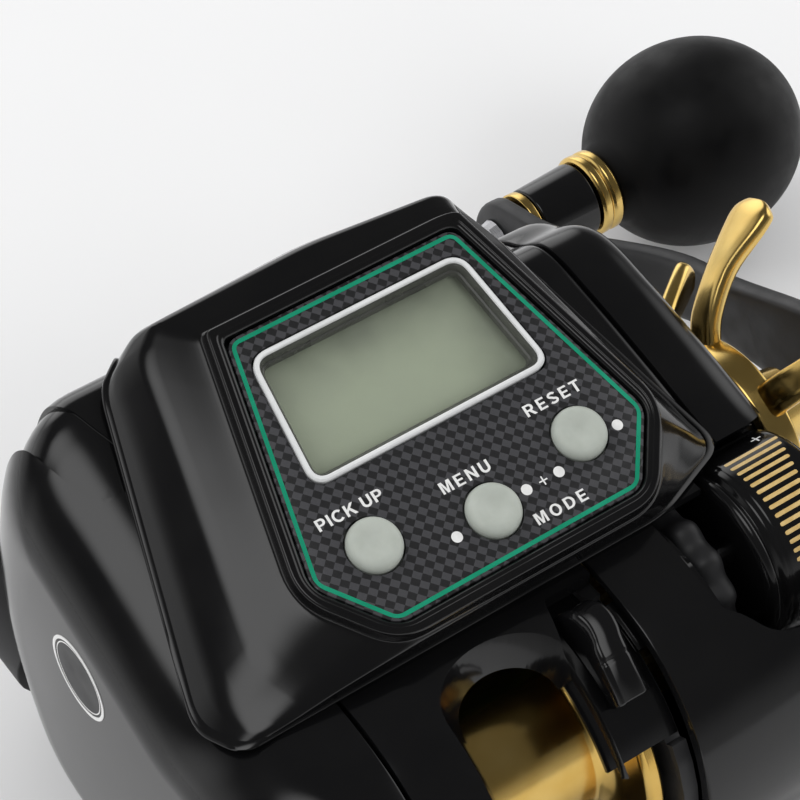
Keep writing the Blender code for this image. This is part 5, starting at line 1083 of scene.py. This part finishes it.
shape = hoodShape
halfTurn = math.degrees(shape["width"] / 2 / shape["radius"])
marks = []
for i in range(shape["lines"]):
    share = i / (shape["lines"] - 1)
    degrees = shape["first"] + (shape["last"] - shape["first"]) * share
    x0 = shape["from"][0] + (shape["from"][1] - shape["from"][0]) * share
    x1 = shape["to"] - shape["narrower"] * (degrees - shape["first"])
    low, high = degrees - halfTurn, degrees + halfTurn
    corner, turn = shape["corner"], shape["cornerTurn"]
    marks.append(drumMark("mark", [(x0, low + turn), (x0 + corner, low), (x1 - corner, low),
                                   (x1, low + turn), (x1, high - turn), (x1 - corner, high),
                                   (x0 + corner, high), (x0, high - turn)]))
finishPiece(joinPieces("scaleLines", marks), "goldInk", smooth=20)
x, degrees = shape["plus"]
cross = [(x + a, degrees + math.degrees(b / shape["radius"]))
         for a, b in crossOutline(0, 0, shape["plusReach"], shape["plusWidth"])]
finishPiece(drumMark("drumPlus", cross), "whiteInk", smooth=20, slot="gloss_black")


# Gear case and side plate, with a mouth round the dial and the trimmed dial pocket
mouthShape = {
    # where the opening ends, as (x, degrees) round the spool's axis
    "edge": [(32.3, 108), (32.6, 114), (33.2, 117.5), (34.7, 120.6), (35.9, 123.8), (37.1, 127.3),
             (38.9, 130.4), (41.9, 132.4), (45.0, 133.2), (50.0, 133.6), (56.0, 133.8), (62.0, 134)],
    "start": 82, "steps": 24, "low": 20.0, "high": 34.0,
    # what is trimmed off the liner: from radius, to radius, from degrees, to degrees
    "trims": [(25.9, 36, 60, 150), (22.4, 38, 116, 155)], "trimEnds": (30, 60),
}


def mouthTool(shape=mouthShape):
    rows = []
    for point in splineThrough(shape["edge"], 5):
        turns = [math.radians(shape["start"] + (point.y - shape["start"]) * i / shape["steps"])
                 for i in range(shape["steps"] + 1)]
        inner, outer = ([roundAxis("spool", point.x, r, a) for a in turns]
                        for r in (shape["low"], shape["high"]))
        rows.append(outer + inner[::-1])
    return rowsToMesh("mouthTool", rows)


rightCovers = {
    "gearCase": {"node": "gear_case", "open": 20.7, "face": 49.0, "edge": 1.2, "steps": 4},
    "rightPlate": {"node": "right_side_plate", "open": 49.3, "face": 59.5, "edge": 5.0,
                   "steps": 10},
}
rightHoles = {"pocket": [(42.0, 17.7), (70.0, 17.7)], "pocketAxis": (-13.0, 48.8),
              "shaft": [(24, 3.3), (70, 3.3)]}
rightOutline = coverOutline("rightNose")
for name, shape in rightCovers.items():
    shell = coverShell(name, rightOutline, shellProfile(shape["open"], shape["face"],
                                                        shape["edge"], coverShape["wall"],
                                                        shape["steps"]))
    cutAway(shell, mouthTool())
    cutAway(shell, turnedPiece("pocketTool", rightHoles["pocket"], rightHoles["pocketAxis"],
                               closed=False))
    cutAway(shell, turnedPiece("shaftTool", rightHoles["shaft"], "drive", 32, closed=False))
    finishPiece(shell, "glossBlack", shape["node"])

liner = cadCopy("dialPocket", "dial_pocket")
for inner, outer, first, last in mouthShape["trims"]:
    sector = ringSector("spool", inner, outer, first, last, 24)
    cutAway(liner, prismX("trimTool", sector, *mouthShape["trimEnds"]))
finishPiece(liner, "glossBlack", "dial_pocket", slot="matte_black")
print("dial, hood, gear case and pocket made")


# Star drag: gold ring and hub with six arms
starShape = {
    "profile": [(65.3, 3.3), (65.3, 13.2), (62.0, 13.2, 0.3), (62.0, 15.4, 0.4), (62.5, 15.6),
                (66.6, 15.6, 0.4), (67.0, 15.1, 0.6), (67.7, 9.1, 0.6), (68.2, 7.0, 0.4),
                (76.0, 5.95, 0.4), (76.0, 3.3)],
    "arms": 6, "first": 57.5, "start": 62.0, "reach": 19.5, "ring": 15.6, "rise": 14.9,
    "thick": 3.2, "tip": 0.55, "edge": 0.35,
    "stations": [(0.17, -0.09, 5.5), (0.26, 0.22, 5.5), (0.50, 0.58, 5.5), (0.80, 0.86, 8.5),
                 (0.93, 0.97, 8.5), (1.0, 1.0, 5.1)],
}


def roundedSection(halfWide, halfThick, power=3.2, count=28):
    points = []
    for i in range(count):
        a = 2 * math.pi * i / count
        c, s = math.cos(a), math.sin(a)
        points.append((halfWide * math.copysign(abs(c) ** (2 / power), c),
                       halfThick * math.copysign(abs(s) ** (2 / power), s)))
    return points


shape = starShape
star = turnedPiece("starDrag", shape["profile"], "drive", 96, 4)
centre = Vector((0, *axes["drive"]))
for index in range(shape["arms"]):
    angle = math.radians(shape["first"] + 360 * index / shape["arms"])
    out = Vector((0, math.cos(angle), math.sin(angle)))
    side = Vector((0, -math.sin(angle), math.cos(angle)))
    stations = splineThrough(shape["stations"], 5)
    path = [centre + Vector((shape["start"] + a * shape["reach"], 0, 0))
            + out * (shape["ring"] + b * shape["rise"]) for a, b, _ in stations]
    rows = []
    for i, (_, _, width) in enumerate(stations):
        ahead = path[min(i + 1, len(path) - 1)] - path[max(i - 1, 0)]
        square = ahead.cross(side).normalized()
        thick = shape["thick"] / 2 * (shape["tip"] if i == len(stations) - 1 else 1.0)
        rows.append([path[i] + side * a + square * b
                     for a, b in roundedSection(width / 2, thick)])
    cutAway(star, rowsToMesh("armTool", rows), "UNION")
roundEdges(star, shape["edge"], 2, 42)
finishPiece(star, "goldDrive", "star_drag", body="drag_star", smooth=40)
print("star drag made")


# Handle arm and knob
handleShape = {"angle": -17.4, "length": 75.3, "hubX": 87.0, "endX": 77.0, "thick": 4.6,
               "hub": 19.0, "end": 13.0, "neck": 11.5, "neckAt": 0.45, "endFrom": 0.7,
               "sweep": (0.45, 0.45), "stations": 34, "holes": {"drive": 3.0, "knob": 2.7},
               "holeEnds": (70, 95)}


def ease(t):
    return (3 - 2 * t) * t ** 2


def armStations(shape, endSteps=9):
    # (distance, half width) from behind the hub to past the knob's end
    hub, end, neck = shape["hub"] / 2, shape["end"] / 2, shape["neck"] / 2
    length, count = shape["length"], shape["stations"]
    turns = [math.pi / 2 * (i + 0.35) / endSteps for i in range(endSteps)]
    made = [(-hub * math.cos(turn), hub * math.sin(turn)) for turn in turns]
    for i in range(count):
        share = i / (count - 1)
        half = hub + (neck - hub) * ease(min(share / shape["neckAt"], 1))
        toEnd = max((share - shape["endFrom"]) / (1 - shape["endFrom"]), 0)
        made.append((share * length, half + (end - neck) * ease(toEnd)))
    made += [(length + end * math.cos(turn), end * math.sin(turn)) for turn in reversed(turns)]
    return made


shape = handleShape
angle = math.radians(shape["angle"])
along = Vector((0, math.cos(angle), math.sin(angle)))
across = Vector((0, -math.sin(angle), math.cos(angle)))
rows = []
sweepFrom, sweepOver = shape["sweep"]
for distance, half in armStations(shape):
    sweep = min(max((distance / shape["length"] - sweepFrom) / sweepOver, 0), 1)
    x = shape["hubX"] + (shape["endX"] - shape["hubX"]) * ease(sweep)
    middle = Vector((x, *axes["drive"])) + along * distance
    rows.append([middle + across * a + Vector((b, 0, 0))
                 for a, b in roundedSection(half, shape["thick"] / 2, 4.0, 32)])
arm = rowsToMesh("crankArm", rows)
for axis, radius in shape["holes"].items():
    hole = [(x, radius) for x in shape["holeEnds"]]
    cutAway(arm, turnedPiece("armTool", hole, axis, 32, closed=False))
finishPiece(arm, "castBlack", "handle_arm", body="handle_drive", smooth=40)

knobShape = {
    "ball": (97.5, 41.0, 18.4, 6.6),  # start, length, radius, neck radius
    "bore": 2.7, "steps": 44, "chamfer": (0.12, 0.3),
    "stem": [(81.5, 2.7), (81.5, 5.9, 0.2), (81.8, 6.2, 0.2), (92.2, 6.7, 0.3), (92.5, 6.2, 0.2),
             (92.5, 2.7)],
    "ring": [(92.8, 2.7), (92.8, 6.88, 0.15), (93.24, 7.4, 0.35), (94.56, 7.4, 0.35),
             (95.0, 6.88, 0.2), (95.44, 7.4, 0.35), (96.76, 7.4, 0.35), (97.2, 6.88, 0.15),
             (97.2, 2.7)],
    "washer": [(79.6, 2.7), (79.6, 6.2, 0.3), (81.2, 6.2, 0.3), (81.2, 2.7)],
}
start, length, radius, neck = knobShape["ball"]
low = math.asin(neck / radius)
bore, steps = knobShape["bore"], knobShape["steps"]
chamferX, chamferR = knobShape["chamfer"]
profile = [(start + length / 2, bore), (start, bore), (start, neck - chamferR),
           (start + chamferX, neck)]
for i in range(1, steps):
    turn = low + (math.pi - low) * i / steps
    profile.append((start + length / 2 * (1 - math.cos(turn)), radius * math.sin(turn)))
ball = turnedPiece("knobBall", profile, "knob", 120, closed=False)
finishPiece(ball, "softTouch", "handle_knob", body="knob", smooth=60)
for name, finish, body in (("stem", "glossBlack", "knob"), ("ring", "goldKnob", "knob"),
                           ("washer", "goldKnob", "handle_drive")):
    piece = turnedPiece("knob" + name.title(), knobShape[name], "knob")
    finishPiece(piece, finish, "knob_" + name, body=body)
print("handle and knob made")


# Thumb lever: a shaped fin on the CAD lever's arm and hub
leverShape = {
    "section": [(12.45, 24.35), (12.45, 26.6), (12.75, 27.9), (13.2, 28.9), (13.7, 29.55),
                (14.2, 29.35), (15.0, 29.0), (15.8, 28.9), (16.6, 28.95), (17.3, 29.1),
                (17.7, 28.95), (18.3, 28.1), (18.6, 26.6), (19.35, 25.4), (19.35, 24.35)],
    "inner": 24.35, "front": 91.8, "rear": 126, "nose": 7.5, "groove": 113.5, "steps": 64,
    "noseRise": 0.20, "rearRise": 0.62, "fallFrom": 108, "grooveDepth": 0.06, "grooveHalf": 0.5,
    "right": 19.38, "armEdge": 0.12,
    # what is cut off the CAD arm: from radius, from x, to x
    "armCuts": [(20, 11, 18.15), (24.35, 18.0, 19.8)], "cutOuter": 33, "cutTurn": (90, 131),
    "shiftOver": 4.0,  # the ridge's shift is full this far above the fin's foot
    "ridge": [(91.8, -1.3), (96, -0.35), (101.5, 0.35), (106, 0.1), (110, -0.5), (118, -0.9),
              (126, -1.0)],
}


def leverRise(degrees, shape=leverShape):
    # how much of the fin's full height stands at an angle
    toNose = min((degrees - shape["front"]) / shape["nose"], 1)
    rise = shape["noseRise"] + (1 - shape["noseRise"]) * math.sin(math.pi / 2 * toNose) ** 0.8
    past = max((degrees - shape["fallFrom"]) / (shape["rear"] - shape["fallFrom"]), 0)
    rise -= (1 - shape["rearRise"]) * past ** 1.6
    groove = math.exp(-((degrees - shape["groove"]) / shape["grooveHalf"]) ** 2)
    return rise - shape["grooveDepth"] * groove


def leverShift(degrees, path=splineThrough(leverShape["ridge"], 12)):
    # how far the ridge wanders sideways along the fin
    for low, high in zip(path, path[1:]):
        if degrees <= high.x:
            return low.y + (high.y - low.y) * (degrees - low.x) / (high.x - low.x)
    return path[-1].y


shape = leverShape
rows = []
for i in range(shape["steps"] + 1):
    degrees = shape["front"] + (shape["rear"] - shape["front"]) * i / shape["steps"]
    rise, shift = leverRise(degrees), leverShift(degrees)
    row = []
    for x, r in shape["section"]:
        up = (r - shape["inner"]) * rise
        x = min(x + shift * min(up / shape["shiftOver"], 1), shape["right"])
        row.append(roundAxis("spool", x, shape["inner"] + up, math.radians(degrees)))
    rows.append(row)
lever = rowsToMesh("clutchLever", rows)
arm = cadCopy("leverArm", "clutch_lever")
for inner, left, right in shape["armCuts"]:
    sector = ringSector("spool", inner, shape["cutOuter"], *shape["cutTurn"], 24)
    cutAway(arm, prismX("finTool", sector, left, right))
roundEdges(arm, shape["armEdge"], 2)
cutAway(lever, arm, "UNION")
finishPiece(lever, "glossBlack", "clutch_lever", body="lever", smooth=50)
print("lever made")


# Pieces whose CAD shape is right, with rounded edges
refined = {
    "nose_cover": ("noseCover", "glossBlack", 0.5, 3),
    "main_frame": ("mainFrame", "castBlack", 0.35, 2),
    "reel_foot": ("reelFoot", "castGreyRod", 0.4, 3),
    "power_socket": ("powerSocket", "satinBlack", 0.3, 3),
    "drag_collar": ("dragCollar", "glossBlack", 0.3, 3),
    "handle_nut": ("handleNut", "goldDrive", 0.35, 3),
    "line_guide": ("lineGuide", "glossBlack", 0.3, 3),
    "guide_ring": ("guideRing", "paleCeramic", 0.15, 3),
}
for node, (name, finish, width, segments) in refined.items():
    piece = cadCopy(name, node)
    roundEdges(piece, width, segments)
    finishPiece(piece, finish, node, body=frame["nodes"][node]["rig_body"])

# CAD nodes that stay as they are, with their finishes
kept = {
    "steelSpool": ["spool_shaft", "bearing_left", "bearing_right"],
    "brassSpool": ["spool_gear", "pinion_gear"],
    "steelMotor": ["drive_motor", "motor_shaft"],
    "brassMotor": ["motor_pinion"],
    "brassIdler": ["idler_gear"],
    "steelIdler": ["idler_pin"],
    "steelDrive": ["drive_shaft", "pressure_plate", "roller_clutch"],
    "brassDrive": ["drive_gear"],
    "steelKnob": ["knob_spindle"],
    "steelDial": ["dial_shaft"],
    "steelWorm": ["worm_shaft"],
    "steelRod": ["guide_rod", "foot_screw_front", "foot_screw_rear"],
    "brassRod": ["socket_pin_left", "socket_pin_right"],
    "satinBlack": ["dial_sensor", "drag_washer", "worm_gear", "worm_drive_gear"],
    "boardGreen": ["control_board"],
    "buttonRubber": ["key_mat"],
}
for finish, nodes in kept.items():
    for node in nodes:
        materials = frame["nodes"][node].data.materials
        materials.clear()
        materials.append(finishes[finish])
print("carried-over pieces finished")


# Floor, light and camera
def stageMaterial(name, colour, rough):
    finish, tree, shader, coords = startFinish(name)
    cloud = noiseAt(tree, coords, 90)
    tone = [tuple(c * share for c in colour) for share in (0.985, 1.0)]
    tree.links.new(twoTone(tree, cloud, *tone), shader.inputs["Base Color"])
    tree.links.new(spread(tree, cloud, rough, rough + 0.08), shader.inputs["Roughness"])
    shader.inputs["Specular IOR Level"].default_value = 0.2
    return finish


stage = {"floorSize": 3.0, "colour": (0.855, 0.855, 0.86), "floorZ": 0.0}
work = bmesh.new()
half = stage["floorSize"] / 2
corners = [work.verts.new((x, y, stage["floorZ"])) for x, y in
           ((-half, -half), (half, -half), (half, half), (-half, half))]
work.faces.new(corners)
mesh = bpy.data.meshes.new("floor")
work.to_mesh(mesh)
work.free()
mesh.materials.append(stageMaterial("paleFloor", stage["colour"], 0.55))
meshObject("floor", mesh)

lamps = {
    "leftBack": dict(place=(-0.70, 0.62, 0.75), aim=(0.0, 0.02, 0.04), size=(0.9, 0.9), watts=7.4),
    "front": dict(place=(0.35, -0.80, 0.75), aim=(0.02, 0.0, 0.04), size=(0.8, 0.5), watts=3.0),
    "right": dict(place=(0.85, 0.35, 0.55), aim=(0.05, 0.0, 0.05), size=(0.5, 0.5), watts=2.0),
}
for name, lamp in lamps.items():
    light = bpy.data.lights.new(name, "AREA")
    light.shape = "RECTANGLE"
    light.size, light.size_y = lamp["size"]
    light.energy = lamp["watts"]
    made = bpy.data.objects.new(name, light)
    bpy.context.scene.collection.objects.link(made)
    place, aim = Vector(lamp["place"]), Vector(lamp["aim"])
    made.location = place
    made.rotation_euler = (aim - place).to_track_quat("-Z", "Y").to_euler()
    made.visible_glossy = False

# What shiny surfaces mirror: a pale room low down, a dark ceiling and soft panels of light
room = {"ambient": 0.60, "low": 0.42, "high": 0.09, "from": 0.0, "to": 0.40,
        "panels": [((-0.27, -0.14, 0.95), 0.935, 0.985, 2.1),
                   ((-0.75, 0.65, 0.12), 0.66, 1.0, 0.75),
                   ((0.20, 0.93, 0.30), 0.88, 0.985, 1.5), ((0.90, -0.10, 0.42), 0.86, 0.98, 1.4)]}
world = bpy.data.worlds.new("studio")
bpy.context.scene.world = world
world.use_nodes = True
tree = world.node_tree
direction = addShade(tree, "TexCoord").outputs["Generated"]
rise = addShade(tree, "SeparateXYZ", {"Vector": direction}).outputs["Z"]
total = spread(tree, rise, room["low"], room["high"], room["from"], room["to"], "SMOOTHSTEP")
for towards, edge, core, level in room["panels"]:
    facing = addShade(tree, "VectorMath", {0: direction, 1: Vector(towards).normalized()},
                      operation="DOT_PRODUCT").outputs["Value"]
    total = combine(tree, "ADD", total, spread(tree, facing, 0.0, level, edge, core, "SMOOTHSTEP"))
rays = addShade(tree, "LightPath").outputs
mirrored = combine(tree, "MAXIMUM", rays["Is Glossy Ray"], rays["Is Transmission Ray"])
level = spread(tree, mirrored, room["ambient"], total, 0, 1)
background = tree.nodes["Background"]
background.inputs["Color"].default_value = (1.0, 1.0, 1.0, 1)
tree.links.new(level, background.inputs["Strength"])

cameraShape = {"eye": (-144.3, -198.8, 373.9), "look": (0.386, 0.547, -0.743), "lens": 130.3}
camera = bpy.data.cameras.new("photoCamera")
camera.lens = cameraShape["lens"]
camera.sensor_width = 36.0
camera.clip_start = 0.01
cameraObject = bpy.data.objects.new("photoCamera", camera)
bpy.context.scene.collection.objects.link(cameraObject)
cameraObject.location = Vector(cameraShape["eye"]) * mm
cameraObject.rotation_euler = Vector(cameraShape["look"]).to_track_quat("-Z", "Y").to_euler()
bpy.context.scene.camera = cameraObject
bpy.context.scene.view_settings.view_transform = "Standard"
print("floor, light and camera made")

bpy.context.view_layer.update()
